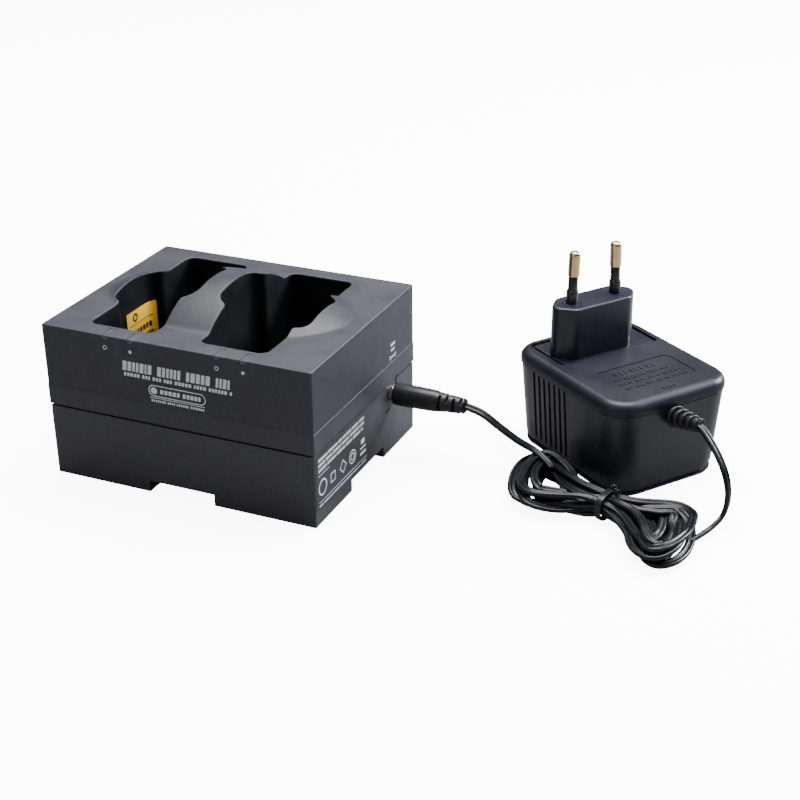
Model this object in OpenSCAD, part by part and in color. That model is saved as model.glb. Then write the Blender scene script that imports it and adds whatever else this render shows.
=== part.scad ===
// Two-bay charging station for belt-worn wireless transmitters, with its plug-in supply and coiled lead.
// Origin: front left lower corner of the station's feet, on the table. +X right, +Y back, +Z up.

/* [Station] */
// Width of the station across the front
body_w = 102; // [98:0.5:110]
// Depth of the station, front to back
body_d = 80.6; // [78:0.2:90]
// Height of the flat deck above the table
deck_z = 56.6; // [54:0.2:60]
// Height of the underside of the upper cover
cover_z0 = 27.0; // [26.6:0.1:27.6]
// Top edge of the lower housing
base_z1 = 26.2; // [25.6:0.1:26.4]
// How far the lower housing sits inside the cover's outline
base_inset = 0.4; // [0.2:0.1:0.8]
// Wall thickness of the cover
wall = 2.2; // [1.8:0.1:2.6]
// Thickness of the deck
deck_t = 2.4; // [2:0.1:3]
// Height of the feet below the floor plate
foot_h = 4.2; // [3:0.1:5]

/* [Crown] */
// Radius of the crown about its long axis at the middle
crown_r = 45; // [44:0.5:47]
// Half length of the crown where it meets the deck
crown_half = 46; // [44:0.5:47]
// Height of the crown's middle above the deck
crown_h = 9; // [7:0.5:10]

/* [Bays] */
// Width of a bay at its ends
bay_w = 24.7; // [24:0.1:26]
// Length of a bay
bay_l = 65.9; // [60:0.1:68]
// Width of a bay across its bulge
bulge_w = 33.6; // [32:0.1:34]
// Length of the bulge along the bay
bulge_l = 27.8; // [24:0.1:30]
// Centre of the left bay from the middle
left_bay_x = -24.0; // [-25:0.1:-23.5]
// Centre of the right bay from the middle
right_bay_x = 18.4; // [18:0.1:20]
// Height of the bay floors' upper face
bay_floor = 15.6; // [15.6:0.1:16]

/* [Contacts] */
// Radius of a contact plunger
plunger_r = 1.0; // [0.9:0.05:1.0]
// How far a plunger stands out of the bay floor
plunger_out = 2.4; // [2.2:0.1:2.8]
// Distance from the bay's middle to each contact
contact_y = 7.0; // [5:0.5:9]

/* [Supply] */
// Size of the supply along its plug
supply_u = 51.1; // [50:0.1:54]
// Size of the supply across its plug
supply_v = 62.3; // [61:0.1:65]
// Height of the supply's upper face
supply_h = 36.0; // [35.6:0.1:38]
// Draft of the supply's ribbed side, from top to foot
draft_u = 2.7; // [1.5:0.1:3]
// Draft of the supply's other sides
draft_v = 1.4; // [1:0.1:2]
// Height of the plug body above the supply
plug_h = 18.8; // [18:0.1:20]
// Distance between the two mains pins
pin_pitch = 18.6; // [18.5:0.1:19.2]
// Radius of a mains pin
pin_r = 2.0; // [1.95:0.01:2.0]
// Length of a mains pin above the plug body
pin_l = 19; // [18.5:0.1:19.5]

/* [Lead] */
// Radius of the lead
lead_r = 1.55; // [1.2:0.05:1.8]

/* [Hidden] */
sliver = 0.01;

// Station: x and y are measured from its middle
half_w = body_w / 2;
half_d = body_d / 2;
base_x = half_w - base_inset;
base_y = half_d - base_inset;
base_wall = 2.4;
floor_t = 2;
foot_rim = 7;
foot_gap_x = [-13, 12.2];
foot_gap_y = [-12.5, 13.6];
tub_t = 1.6;
tub_z0 = bay_floor - tub_t;
bay_x = [left_bay_x, right_bay_x];
bay_y = 0.35;
crown_x = -1;
crown_y = 1;
crown_margin = 3;
axis_z = deck_z + crown_h - crown_r;
arc_r = (crown_half * crown_half + crown_h * crown_h) / (2 * crown_h);
case_post = [43.6, 33.0];
board_post = [31, 26];
board_z = 6.8;
board_top = board_z + 1.2;
jack_y = 20.9;
jack_z = 22.4;
jack_z0 = 16.6;
pipe_x = [-25.8, -16.0, 16.7, 26.4];
pipe_half = 1.0;
slot_half = pipe_half + 0.15;
lamp_board_z = 46.4;
lamp_board_top = lamp_board_z + 1;

// Supply: x and y are its own u and v, from its middle
half_u = supply_u / 2;
half_v = supply_v / 2;
part_z = 31.0;
supply_wall = 2.2;
supply_corner = 10;
seat_at = [0.4, 16.0];
seat_w = 39.4;
seat_l = 19.4;
plug_at = [-2.3, 14.5];
pin_lean = 1.66;
pin_core_r = 1.5;
pin_bore_r = 1.52;

black = [0.09, 0.09, 0.10];
grey = [0.2, 0.2, 0.22];
brass = [0.8, 0.66, 0.38];
green = [0.1, 0.35, 0.2];
dark_blue = [0.12, 0.14, 0.3];

// ---------------------------------------------------------------- frames and shapes
module at_origin() { translate([base_x, base_y, 0]) children(); }
module at_supply() { at_origin() translate([125.3, 50.5, 0]) rotate([0, 0, 54.5]) children(); }
// local +Z along station +X, on the axis of the socket
module on_jack_axis() { translate([0, jack_y, jack_z]) rotate([0, 90, 0]) children(); }
// four copies, at plus and minus each coordinate of place
module at_corners(place)
  for (sx = [-1, 1], sy = [-1, 1]) translate([sx * place[0], sy * place[1], 0]) children();
module at_contacts()
  for (x = bay_x, side = [-1, 1]) translate([x, side * contact_y, 0]) children();
// one copy per light pipe, with y from the cover's front face
module at_pipes() for (x = pipe_x) translate([x, -half_d, 0]) children();

function span(half, middle = 0) = [middle - half, middle + half];
// box and rods between [low, high] pairs
module block(x, y, z)
  translate([x[0], y[0], z[0]]) cube([x[1] - x[0], y[1] - y[0], z[1] - z[0]]);
module slab(half_x, half_y, z) block(span(half_x), span(half_y), z);
module rod(r, z) translate([0, 0, z[0]]) cylinder(r = r, h = z[1] - z[0], $fn = 48);
module cone(r1, r2, z) translate([0, 0, z[0]]) cylinder(r1 = r1, r2 = r2, h = z[1] - z[0], $fn = 48);
module rounded(w, l, r) {
  square([w - 2 * r, l], center = true);
  square([w, l - 2 * r], center = true);
  for (sx = [-1, 1], sy = [-1, 1])
    translate([sx * (w / 2 - r), sy * (l / 2 - r)]) circle(r = r, $fn = 48);
}

// round tube along a path; reference must not run along the path
function unit(v) = v / norm(v);
function tangent_at(path, i) = unit(path[min(i + 1, len(path) - 1)] - path[max(i - 1, 0)]);
module tube(path, radius, sides, reference = [0, 0, 1]) {
  last = len(path) - 1;
  points = [for (i = [0:last])
    let (
      tangent = tangent_at(path, i),
      across = unit(cross(tangent, reference)),
      up = cross(across, tangent)
    )
    for (k = [0:sides - 1])
      path[i] + radius * (cos(360 * k / sides) * across + sin(360 * k / sides) * up)];
  walls = [for (i = [0:last - 1], k = [0:sides - 1])
    let (next = (k + 1) % sides)
    [i * sides + k, i * sides + next, (i + 1) * sides + next, (i + 1) * sides + k]];
  ends = [[for (k = [sides - 1:-1:0]) k], [for (k = [0:sides - 1]) last * sides + k]];
  polyhedron(points = points, faces = concat(walls, ends), convexity = 8);
}
// cubic curve through space, from four control points
function bezier_point(ctrl, t) =
  pow(1 - t, 3) * ctrl[0] + 3 * pow(1 - t, 2) * t * ctrl[1]
  + 3 * (1 - t) * t * t * ctrl[2] + t * t * t * ctrl[3];
function bezier_path(ctrl, steps, first = 0) =
  [for (i = [first:steps]) bezier_point(ctrl, i / steps)];
function helix(r, z, turns, steps) =
  [for (i = [0:steps])
    let (part = i / steps, angle = 360 * turns * part)
    [r * cos(angle), r * sin(angle), z[0] + (z[1] - z[0]) * part]];

// ---------------------------------------------------------------- station housing
// outline of the bay centred at x; the bulge is centred on the station's middle
module bay_outline(x, grow) {
  translate([x, bay_y]) rounded(bay_w + 2 * grow, bay_l + 2 * grow, 3 + grow);
  translate([x, 0]) rounded(bulge_w + 2 * grow, bulge_l + 2 * grow, 6 + grow);
}
module bay_prism(x, z0, grow = 0) translate([0, 0, z0]) linear_extrude(60) bay_outline(x, grow);

// barrel-shaped body turned about the crown's long axis
module crown(shrink = 0) translate([crown_x, crown_y, axis_z]) rotate([0, 90, 0])
  rotate_extrude($fn = 96) intersection() {
    translate([-(arc_r - crown_r), 0]) circle(r = arc_r - shrink, $fn = 240);
    translate([0, -60]) square([60, 120]);
  }
module crown_zone(z0) slab(half_w - crown_margin, half_d - crown_margin, [z0, deck_z + 20]);

// walls and flat deck, open under the crown
module cover_shell() difference() {
  slab(half_w, half_d, [cover_z0, deck_z]);
  slab(half_w - wall, half_d - wall, [cover_z0 - 1, deck_z - deck_t]);
  intersection() {
    crown(deck_t);
    crown_zone(deck_z - 6);
  }
}
module crown_shell() difference() {
  intersection() {
    crown();
    crown_zone(deck_z - deck_t);
  }
  crown(deck_t);
}
// solid bodies of the bays, cut off at the deck and crown
module bay_tubs() for (x = bay_x) intersection() {
  bay_prism(x, tub_z0, tub_t);
  union() {
    slab(half_w, half_d, [0, deck_z]);
    crown();
  }
}

// [front y, back y, bottom z] of the steps of a light pipe's slot
slot_steps = [
  [-1, 6, deck_z - 1.0],
  [-1, 1.0, deck_z - 1.7],
  [3.4, 6, deck_z - 5]];

module top_cover() color(grey) at_origin() difference() {
  union() {
    cover_shell();
    crown_shell();
    bay_tubs();
    // bosses for the case screws
    at_corners(case_post) rod(3.2, [cover_z0, deck_z - deck_t + 0.5]);
  }
  for (x = bay_x) bay_prism(x, bay_floor);
  at_contacts() rod(plunger_r + 0.05, [tub_z0 - 1, bay_floor + 1]);
  at_pipes() for (step = slot_steps)
    block(span(slot_half), [step[0], step[1]], [step[2], deck_z + 1]);
  at_corners(case_post) rod(1.5, [cover_z0 - 1, 40]);
  // notch over the socket
  block([half_w - 4, half_w + 1], span(4.7, jack_y), [cover_z0 - 1, 27.6]);
}

// floor and walls, with the underside cleared to leave four feet
module base_shell() difference() {
  slab(base_x, base_y, [0, base_z1]);
  slab(base_x - base_wall, base_y - base_wall, [foot_h + floor_t, base_z1 + 1]);
  slab(base_x - foot_rim, base_y - foot_rim, [-1, foot_h]);
  block(foot_gap_x, span(base_y + 1), [-1, foot_h]);
  block(span(base_x + 1), foot_gap_y, [-1, foot_h]);
}
// lip that locates the cover
module base_lip() {
  lip_x = half_w - wall - 0.3;
  lip_y = half_d - wall - 0.3;
  lip_t = 1.4;
  difference() {
    slab(lip_x, lip_y, [24, cover_z0 + 2]);
    slab(lip_x - lip_t, lip_y - lip_t, [23, cover_z0 + 3]);
  }
}
module base_housing() color(black) at_origin() difference() {
  union() {
    base_shell();
    base_lip();
    // posts for the case screws, then for the board
    at_corners(case_post) rod(3.6, [0, cover_z0 - sliver]);
    at_corners(board_post) rod(2.4, [foot_h + 1, board_z]);
    // ribs under the socket
    for (side = [-1, 1])
      block([38.4, base_x - 1], span(0.8, jack_y + side * 3.4), [foot_h + 1, jack_z0]);
  }
  // head recesses and holes of the case screws
  at_corners(case_post) {
    rod(2.9, [-1, 18]);
    rod(1.6, [17, 30]);
  }
  at_corners(board_post) rod(1.02, [foot_h + 0.4, board_z + 1]);
  // opening for the socket
  block([half_w - 5, half_w + 1], span(4.6, jack_y), [jack_z0, 40]);
}

// cross recess in a screw head
module cross_recess(half_l, half_slot, z) {
  slab(half_l, half_slot, z);
  slab(half_slot, half_l, z);
}
module case_screws() color("silver") at_origin() at_corners(case_post) difference() {
  union() {
    rod(2.7, [15.8, 18.0]);
    rod(1.48, [17.9, 36]);
  }
  cross_recess(2, 0.35, [15, 16.8]);
}
module board_screws() color("silver") at_origin() at_corners(board_post) difference() {
  union() {
    rod(1.0, [4.9, 8.1]);
    rod(1.9, [8.0, 9.4]);
  }
  cross_recess(1.3, 0.25, [8.8, 10]);
}
// on the right side of the lower housing
module side_label() color([0.12, 0.12, 0.13]) at_origin()
  block([base_x, base_x + 0.12], [-39.4, 1.5], [5.2, 25.9]);
// on the left wall inside the left bay's bulge
label_x = left_bay_x - bulge_w / 2;
module bay_label() color([0.86, 0.64, 0.1]) at_origin()
  block([label_x, label_x + 0.15], [-5.5, 7.6], [24.0, 47.5]);

// ---------------------------------------------------------------- boards
module main_board() color(green) at_origin() difference() {
  block([-38, 36], [-30, 30], [board_z, board_top]);
  at_corners(board_post) rod(1.1, [0, 12]);
}
// one eight-legged chip for each bay
leg_pitch = 1.27;
module charge_chips() color(black) at_origin() for (x = bay_x) translate([x, 0, 0]) {
  block(span(2.5), [16, 20], [8.25, 9.75]);
  for (k = [0:3], y = [15.0, 19.9])
    block([-2.15 + k * leg_pitch, -1.75 + k * leg_pitch], [y, y + 1.1], [board_top, 8.9]);
}
// body, tab behind it and three legs in front
module voltage_regulator() color(black) at_origin() translate([-3.1, 0, 0]) {
  block(span(3.3), [16, 22], [board_top, 10.3]);
  block(span(2.7), [21.9, 23.2], [board_top, 8.5]);
  for (x = [-2.3, 0, 2.3]) block(span(0.3, x), [13.6, 16.1], [board_top, 8.6]);
}
module board_capacitors() color(dark_blue) at_origin()
  for (y = [-18, -6, 6]) translate([-3, y, 0]) rod(2.9, [board_top, 13.4]);
module indicator_board() color(green) at_origin()
  block([-32, 31], [-half_d + 2.9, -half_d + 5.9], [lamp_board_z, lamp_board_top]);
module indicator_lamps() color([0.9, 0.9, 0.85, 0.8]) at_origin() at_pipes()
  translate([0, 4.45, 0]) rod(1.35, [lamp_board_top, 49.2]);

// [front y, back y, bottom z] of a light pipe's arm, front drop and stem
pipe_parts = [
  [0.25, 5.85, deck_z - 0.95],
  [0.25, 0.95, deck_z - 1.6],
  [3.5, 5.85, 49.6]];
module light_pipes() color([0.55, 0.57, 0.6]) at_origin() at_pipes() for (part = pipe_parts)
  block(span(pipe_half), [part[0], part[1]], [part[2], deck_z - 0.05]);

// ---------------------------------------------------------------- socket and contacts
module dc_jack_shell() color(black) at_origin() difference() {
  block([37.0, 50.3], span(4.5, jack_y), [jack_z0, 27.4]);
  on_jack_axis() rod(2.82, [40.5, 52]);
  on_jack_axis() rod(1.02, [36, 42]);
}
module dc_jack_pin() color(brass) at_origin() on_jack_axis() {
  rod(1.0, [36.2, 48.8]);
  cone(1.0, 0.5, [48.8, 49.6]);
}
module contact_sleeves() color(brass) at_origin() at_contacts() difference() {
  rod(1.9, [board_top, 13.8]);
  rod(1.45, [8.4, 20]);
}

// flanged contact pin with a blunted tip
plunger_top = bay_floor + plunger_out;
plunger_profile = [ // [radius, height]
  [0, 12], [1.4, 12], [1.4, 13], [plunger_r, 13], [plunger_r, plunger_top - 0.6],
  [plunger_r * 0.8, plunger_top - 0.2], [plunger_r * 0.4, plunger_top], [0, plunger_top]];
module plunger(x, y) color(brass) at_origin() translate([x, y, 0])
  rotate_extrude($fn = 64) polygon(plunger_profile);
module contact_left_front() { plunger(left_bay_x, -contact_y); }
module contact_left_rear() { plunger(left_bay_x, contact_y); }
module contact_right_front() { plunger(right_bay_x, -contact_y); }
module contact_right_rear() { plunger(right_bay_x, contact_y); }

spring_path = helix(r = 1.15, z = [8.55, 11.85], turns = 4, steps = 64);
module spring(x, y) color("silver") at_origin() translate([x, y, 0])
  tube(spring_path, radius = 0.12, sides = 6);
module spring_left_front() { spring(left_bay_x, -contact_y); }
module spring_left_rear() { spring(left_bay_x, contact_y); }
module spring_right_front() { spring(right_bay_x, -contact_y); }
module spring_right_rear() { spring(right_bay_x, contact_y); }

// ---------------------------------------------------------------- plug of the lead
// [radius, station x], narrowing to the ringed tail
grip_profile = [
  [0, 52.0], [3.5, 52.0], [3.95, 52.6], [4.1, 57], [4.0, 62], [3.6, 67], [3.2, 68.4],
  [3.2, 68.8], [2.6, 68.8], [2.6, 69.8], [3.1, 69.8],
  [3.1, 71.4], [2.45, 71.4], [2.45, 72.4], [2.95, 72.4],
  [2.95, 74.0], [2.3, 74.0], [2.3, 75.0], [2.8, 75.0],
  [2.8, 76.6], [2.15, 76.6], [2.15, 77.4], [2.6, 77.4], [2.6, 79.0], [0, 79.0]];
module plug_grip() color(black) at_origin() on_jack_axis() difference() {
  rotate_extrude($fn = 64) polygon(grip_profile);
  rod(2.0, [51, 58]);
}
module plug_barrel() color("silver") at_origin() on_jack_axis() difference() {
  union() {
    rod(2.75, [41.5, 51.3]);
    rod(3.3, [51.2, 52.0]);
    rod(1.98, [51.9, 57.8]);
  }
  rod(1.82, [41, 52.0]);
}
module plug_insulator() color([0.75, 0.72, 0.62]) at_origin() on_jack_axis() difference() {
  rod(1.8, [41.5, 51.9]);
  rod(1.05, [41, 51.0]);
}

// ---------------------------------------------------------------- lead
// control points: from the plug down to the hank
front_curve = [[79.9, jack_y, jack_z], [85, jack_y, 21.2], [90, 20.8, 17.6], [97, 21.9, 13.4]];
module lead_front() color(black) at_origin()
  tube(bezier_path(front_curve, steps = 20), radius = lead_r, sides = 12);

// flat strip with round ends, seen from above
module strip(from, to, r) {
  run = to - from;
  translate(from) rotate(atan2(run[1], run[0]))
    translate([0, -r + 0.25]) square([norm(run), 2 * r - 0.5]);
  translate(from) circle(r = r, $fn = 48);
  translate(to) circle(r = r, $fn = 48);
}
// corners [x, y] of the two closed lobes of the tied coil
left_lobe = [[103.4, 13.8], [107.2, 24.6], [117, 18], [124.4, 7.2], [109, 0.8]];
right_lobe = [[147.6, 1.2], [158, 8.6], [162.8, -8], [157.4, -20.2]];
module lead_hank() color(black) at_origin() {
  translate([0, 0, 0.4]) linear_extrude(9.2)
    for (lobe = [left_lobe, right_lobe], i = [0:len(lobe) - 1])
      strip(lobe[i], lobe[(i + 1) % len(lobe)], 4.5);
  // waist that the tie holds
  translate([0, 0, 1.2]) linear_extrude(7.6) strip(left_lobe[3], right_lobe[0], 5.2);
}
module lead_tie() color(black) at_origin()
  translate([136, 4.2, 5.0]) rotate([0, 0, -14.5]) rotate([90, 0, 90])
    translate([0, 0, -0.9]) linear_extrude(1.8) difference() {
      rounded(12.6, 9.8, 1.6);
      square([10.5, 7.7], center = true);
    }

// from the strain relief down to a bend, then along the table to the hank
rear_start = [161.5, 22.6, 30.0];
rear_bend = [173.5, 14.1, 9.5];
rear_drop = [rear_start, rear_start + [3.6, -2.6, 0.65], [rear_bend[0], rear_bend[1], 20], rear_bend];
rear_run = [rear_bend, rear_bend - [0, 0, 5.5], [171.5, 10, 1.8], [169.4, 3.0, 1.9]];
module lead_rear() color(black) at_origin()
  tube(concat(bezier_path(rear_drop, steps = 16), bezier_path(rear_run, steps = 10, first = 1)),
    radius = lead_r, sides = 12, reference = [1, 0, 0]);

// ---------------------------------------------------------------- supply housing
// block with rounded upright corners, narrowing to its foot
module tapered(z0, z1, inset, r) hull()
  for (z = [z0, z1 - sliver], sx = [-1, 1], sy = [-1, 1])
    translate([
      sx * (half_u - draft_u * (1 - z / supply_h) - inset - r),
      sy * (half_v - draft_v * (1 - z / supply_h) - inset - r),
      z]) cylinder(r = r, h = sliver, $fn = 32);
module supply_cavity(z0, z1) tapered(z0, z1, supply_wall, supply_corner - supply_wall);

module at_relief() { at_supply() translate([-1.7, -30.85, 27.9]) rotate([82, 0, 0]) children(); }
// inner flange, neck through the case, five rings on a tapering core
module strain_relief() color(black) at_relief() {
  rod(3.6, [-4.9, -3.0]);
  rod(2.2, [-3.1, 1.3]);
  for (i = [0:4]) translate([0, 0, 1.1 + i * 2.8]) rod(4.0 - i * 0.32, [0, 1.6]);
  cone(3.0, 2.0, [1.1, 13.9]);
}
module supply_case() color(black) difference() {
  at_supply() difference() {
    tapered(0, part_z, 0, supply_corner);
    supply_cavity(supply_wall, part_z + 1);
    // upright grooves in the sloping -u side
    for (i = [0:6])
      translate([-half_u, -1.9 + i * 3.0, 0]) rotate([0, -atan(draft_u / supply_h), 0])
        translate([draft_u - 0.1, 0, 4]) cube([1.0, 1.3, 25.6]);
  }
  at_relief() rod(2.25, [-8, 8]);
}

// [height, inset] up the lid's rounded edge
lid_edge = [
  [part_z + 0.1, 0.1], [supply_h - 3.2, 0], [supply_h - 1.6, 0.45],
  [supply_h - 0.5, 1.6], [supply_h - 0.05, 3.0]];
lid_corner = 9.8;
line_z = [supply_h - 0.35, supply_h + 1];
module supply_lid() color(black) at_supply() difference() {
  hull() for (sx = [-1, 1], sy = [-1, 1], edge = lid_edge)
    translate([sx * (half_u - edge[1] - lid_corner), sy * (half_v - edge[1] - lid_corner), edge[0]])
      cylinder(r = lid_corner, h = 0.05, $fn = 32);
  supply_cavity(part_z - 1, supply_h - supply_wall);
  // opening for the plug's plate
  translate([seat_at[0], seat_at[1], supply_h - 4]) linear_extrude(8)
    rounded(seat_w + 0.8, seat_l + 0.8, 1.4);
  // two shallow grooves that meet in a corner
  block([-14.2, 16.2], [-5.0, -4.6], line_z);
  block([15.8, 16.2], [-20, -4.6], line_z);
}

// ---------------------------------------------------------------- mains plug
plug_outline = [
  [-16.9, -1.6], [-16.9, 1.6], [-11.8, 6.7], [11.8, 6.7],
  [16.9, 1.6], [16.9, -1.6], [11.8, -6.7], [-11.8, -6.7]];
// both pins, from the plug body's top face; they lean a little towards each other
module at_pins() for (side = [-1, 1])
  translate([plug_at[0] + side * pin_pitch / 2, plug_at[1], supply_h + plug_h])
    rotate([0, -side * pin_lean, 0]) children();
module plug_insert() color(black) at_supply() difference() {
  union() {
    translate([plug_at[0], plug_at[1], supply_h - 1]) linear_extrude(plug_h + 1)
      polygon(plug_outline);
    // plate in the lid's opening, and its flange below
    translate([seat_at[0], seat_at[1], supply_h - 2.3]) linear_extrude(2.2)
      rounded(seat_w, seat_l, 1);
    translate([seat_at[0], seat_at[1], supply_h - 3.1]) linear_extrude(0.85)
      rounded(seat_w + 1.6, seat_l + 1.6, 1);
  }
  at_pins() {
    rod(pin_bore_r, [-30, 20]);
    rod(1.73, [-3.05, 20]);
    // shallow ring groove round the pin
    difference() {
      rod(3.4, [-0.3, 20]);
      rod(3.1, [-1, 21]);
    }
  }
}
module mains_pins() color([0.78, 0.7, 0.55]) at_supply() at_pins() {
  rod(pin_core_r, [-plug_h - 5, 10.1]);
  rod(pin_r, [10, pin_l - 1.0]);
  cone(pin_r, pin_r - 0.9, [pin_l - 1.0, pin_l]);
}
module pin_sleeves() color(black) at_supply() at_pins() difference() {
  union() {
    rod(1.7, [-3, 9.95]);
    rod(2.1, [0.1, 4.6]);
  }
  rod(pin_bore_r, [-4, 12]);
}

// ---------------------------------------------------------------- inside the supply
module at_transformer() { at_supply() translate([0, 1.5, 16.6]) children(); }
module transformer_core() color([0.45, 0.46, 0.48]) at_transformer() difference() {
  slab(16, 19, span(7.5));
  for (side = [-1, 1]) block(span(10), span(3.15, side * 9.55), span(9));
}
// square tube with three flanges
module bobbin() color([0.85, 0.85, 0.8]) at_transformer() difference() {
  union() {
    slab(9.8, 7.2, span(8.4));
    for (x = [-9.8, -0.5, 8.8]) block([x, x + 1.0], span(12.5), span(13.4));
  }
  slab(12, 6.45, span(7.55));
}
module winding(x) difference() {
  block(span(4.1, x), span(12.1), span(13.0));
  block(span(5.1, x), span(7.25), span(8.45));
}
module primary_winding() color([0.75, 0.38, 0.16]) at_transformer() winding(-4.65);
module secondary_winding() color([0.85, 0.45, 0.2]) at_transformer() winding(4.65);
module thermal_fuse() color([0.8, 0.8, 0.78]) at_transformer()
  translate([-4.6, -5, 14.3]) rotate([-90, 0, 0]) cylinder(r = 1.2, h = 10, $fn = 32);
module rectifier_board() color(green) at_supply() block([-15, 13], [-25.2, -24.0], [4.5, 22]);
module rectifier_diodes() color(black) at_supply() for (i = [0:3])
  translate([-12.4 + i * 4.0, -22.6, 9]) cylinder(r = 1.35, h = 5.2, $fn = 32);
module supply_capacitor() color(dark_blue) at_supply()
  translate([8.2, -20.8, 0]) rod(3.1, [5.5, 19.5]);
// control points of the two wires from the strain relief
wire_curves = [
  [[-2.7, -25.6, 27.2], [-2.7, -23.2, 27.2], [-9, -23.3, 26], [-9.4, -23.3, 16.5]],
  [[-0.7, -25.6, 27.2], [-0.7, -23.2, 27.2], [2, -23.3, 26], [2.2, -23.3, 21.5]]];
module supply_wires() color([0.6, 0.1, 0.1]) at_supply() for (curve = wire_curves)
  tube(bezier_path(curve, steps = 10), radius = 0.5, sides = 8, reference = [1, 0, 0]);

top_cover();
base_housing();
main_board();
charge_chips();
voltage_regulator();
board_capacitors();
indicator_board();
indicator_lamps();
light_pipes();
dc_jack_shell();
dc_jack_pin();
contact_sleeves();
contact_left_front();
contact_left_rear();
contact_right_front();
contact_right_rear();
spring_left_front();
spring_left_rear();
spring_right_front();
spring_right_rear();
case_screws();
board_screws();
side_label();
bay_label();
plug_grip();
plug_barrel();
plug_insulator();
lead_front();
lead_hank();
lead_tie();
lead_rear();
strain_relief();
supply_case();
supply_lid();
plug_insert();
mains_pins();
pin_sleeves();
transformer_core();
bobbin();
primary_winding();
secondary_winding();
thermal_fuse();
rectifier_board();
rectifier_diodes();
supply_capacitor();
supply_wires();
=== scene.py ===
# A two-bay charging station, and its mains supply with the lead tied in a coil.
# The station stands on z = 0 with its printed front towards -y and its socket on the right
# (+x). Lengths are millimetres from the middle of its footprint unless stated otherwise.
# The supply lies to its right, in a frame of its own turned about z.
import math

import bmesh
import bpy
import numpy as np
from mathutils import Matrix, Vector
from mathutils.geometry import delaunay_2d_cdt


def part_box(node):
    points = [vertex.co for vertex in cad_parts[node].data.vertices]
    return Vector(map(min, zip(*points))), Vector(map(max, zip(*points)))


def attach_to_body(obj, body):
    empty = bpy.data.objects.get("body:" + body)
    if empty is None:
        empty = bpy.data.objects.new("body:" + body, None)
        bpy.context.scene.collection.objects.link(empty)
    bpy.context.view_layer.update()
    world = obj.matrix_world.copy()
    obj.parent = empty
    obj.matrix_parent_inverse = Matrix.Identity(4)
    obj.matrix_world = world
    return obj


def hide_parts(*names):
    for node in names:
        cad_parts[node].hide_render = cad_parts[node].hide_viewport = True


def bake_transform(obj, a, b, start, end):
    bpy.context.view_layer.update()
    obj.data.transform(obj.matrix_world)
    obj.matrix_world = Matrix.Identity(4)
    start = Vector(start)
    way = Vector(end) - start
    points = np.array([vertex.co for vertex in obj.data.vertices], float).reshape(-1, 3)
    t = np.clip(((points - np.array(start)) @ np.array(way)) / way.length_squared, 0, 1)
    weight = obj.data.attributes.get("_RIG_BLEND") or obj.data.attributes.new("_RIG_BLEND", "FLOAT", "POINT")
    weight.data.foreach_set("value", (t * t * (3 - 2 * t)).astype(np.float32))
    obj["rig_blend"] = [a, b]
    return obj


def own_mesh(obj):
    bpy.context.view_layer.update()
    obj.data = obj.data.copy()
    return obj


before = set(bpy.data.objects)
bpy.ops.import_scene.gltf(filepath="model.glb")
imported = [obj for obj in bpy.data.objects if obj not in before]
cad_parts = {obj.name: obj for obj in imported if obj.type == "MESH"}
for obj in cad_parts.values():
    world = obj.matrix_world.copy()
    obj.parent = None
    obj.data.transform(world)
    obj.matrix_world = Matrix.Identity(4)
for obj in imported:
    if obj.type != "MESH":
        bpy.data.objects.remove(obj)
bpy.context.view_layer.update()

# ------------------------------------------------------------------ places from the CAD frame
MM = 0.001


def middle(lo, hi):
    return Vector(((lo.x + hi.x) / 2, (lo.y + hi.y) / 2, 0.0))


cover_lo, cover_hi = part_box("top_cover")
case_lo, case_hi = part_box("supply_case")
DOCK = middle(cover_lo, cover_hi)
SUPPLY = middle(case_lo, case_hi)


def dock(point):
    """Station millimetres to metres in the frame."""
    return Vector((point[0] * MM + DOCK.x, point[1] * MM + DOCK.y, point[2] * MM))


def to_station(point):
    """Metres in the frame to station millimetres."""
    return ((point.x - DOCK.x) / MM, (point.y - DOCK.y) / MM, point.z / MM)


def station_box(node_name):
    """Low and high corner of a CAD node in station millimetres."""
    lo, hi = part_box(node_name)
    return to_station(lo), to_station(hi)


HALF_X = (cover_hi.x - cover_lo.x) / 2 / MM
HALF_Y = (cover_hi.y - cover_lo.y) / 2 / MM
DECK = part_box("light_pipes")[1].z / MM + 0.05
COVER_Z0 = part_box("base_housing")[1].z / MM - 2.0
CREST = cover_hi.z / MM
WALL, TUB_WALL, ROOF = 2.2, 1.6, 2.4
TUB_Z0 = cover_lo.z / MM
BAY_FLOOR = TUB_Z0 + TUB_WALL
BAYS = (-24.0, 18.4)  # middle of each bay in x
FACE_INSET = 0.13  # the upper part of the cover stands this far inside its lower band

jack_lo, jack_hi = station_box("dc_jack_pin")
JACK_Y = (jack_lo[1] + jack_hi[1]) / 2
JACK_Z = (jack_lo[2] + jack_hi[2]) / 2
GRIP_X0, GRIP_X1 = (corner[0] for corner in station_box("plug_grip"))
BARREL_X0 = station_box("plug_barrel")[0][0]

SUPPLY_HALF_X, SUPPLY_HALF_Y = 51.1 / 2, 62.3 / 2
SUPPLY_RADIUS = 10
PART_Z = case_hi.z / MM
LID_Z0, LID_TOP = (corner.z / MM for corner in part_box("supply_lid"))
PLUG_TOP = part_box("plug_insert")[1].z / MM
FOOT_INSET_X, FOOT_INSET_Y = 2.7, 1.4  # taper of the case down to its underside
PLUG_X, PLUG_Y = -2.3, 14.5
PLATE_X, PLATE_Y = 0.4, 16.0
PLATE_HALF_X, PLATE_HALF_Y = 19.7, 9.7

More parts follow.
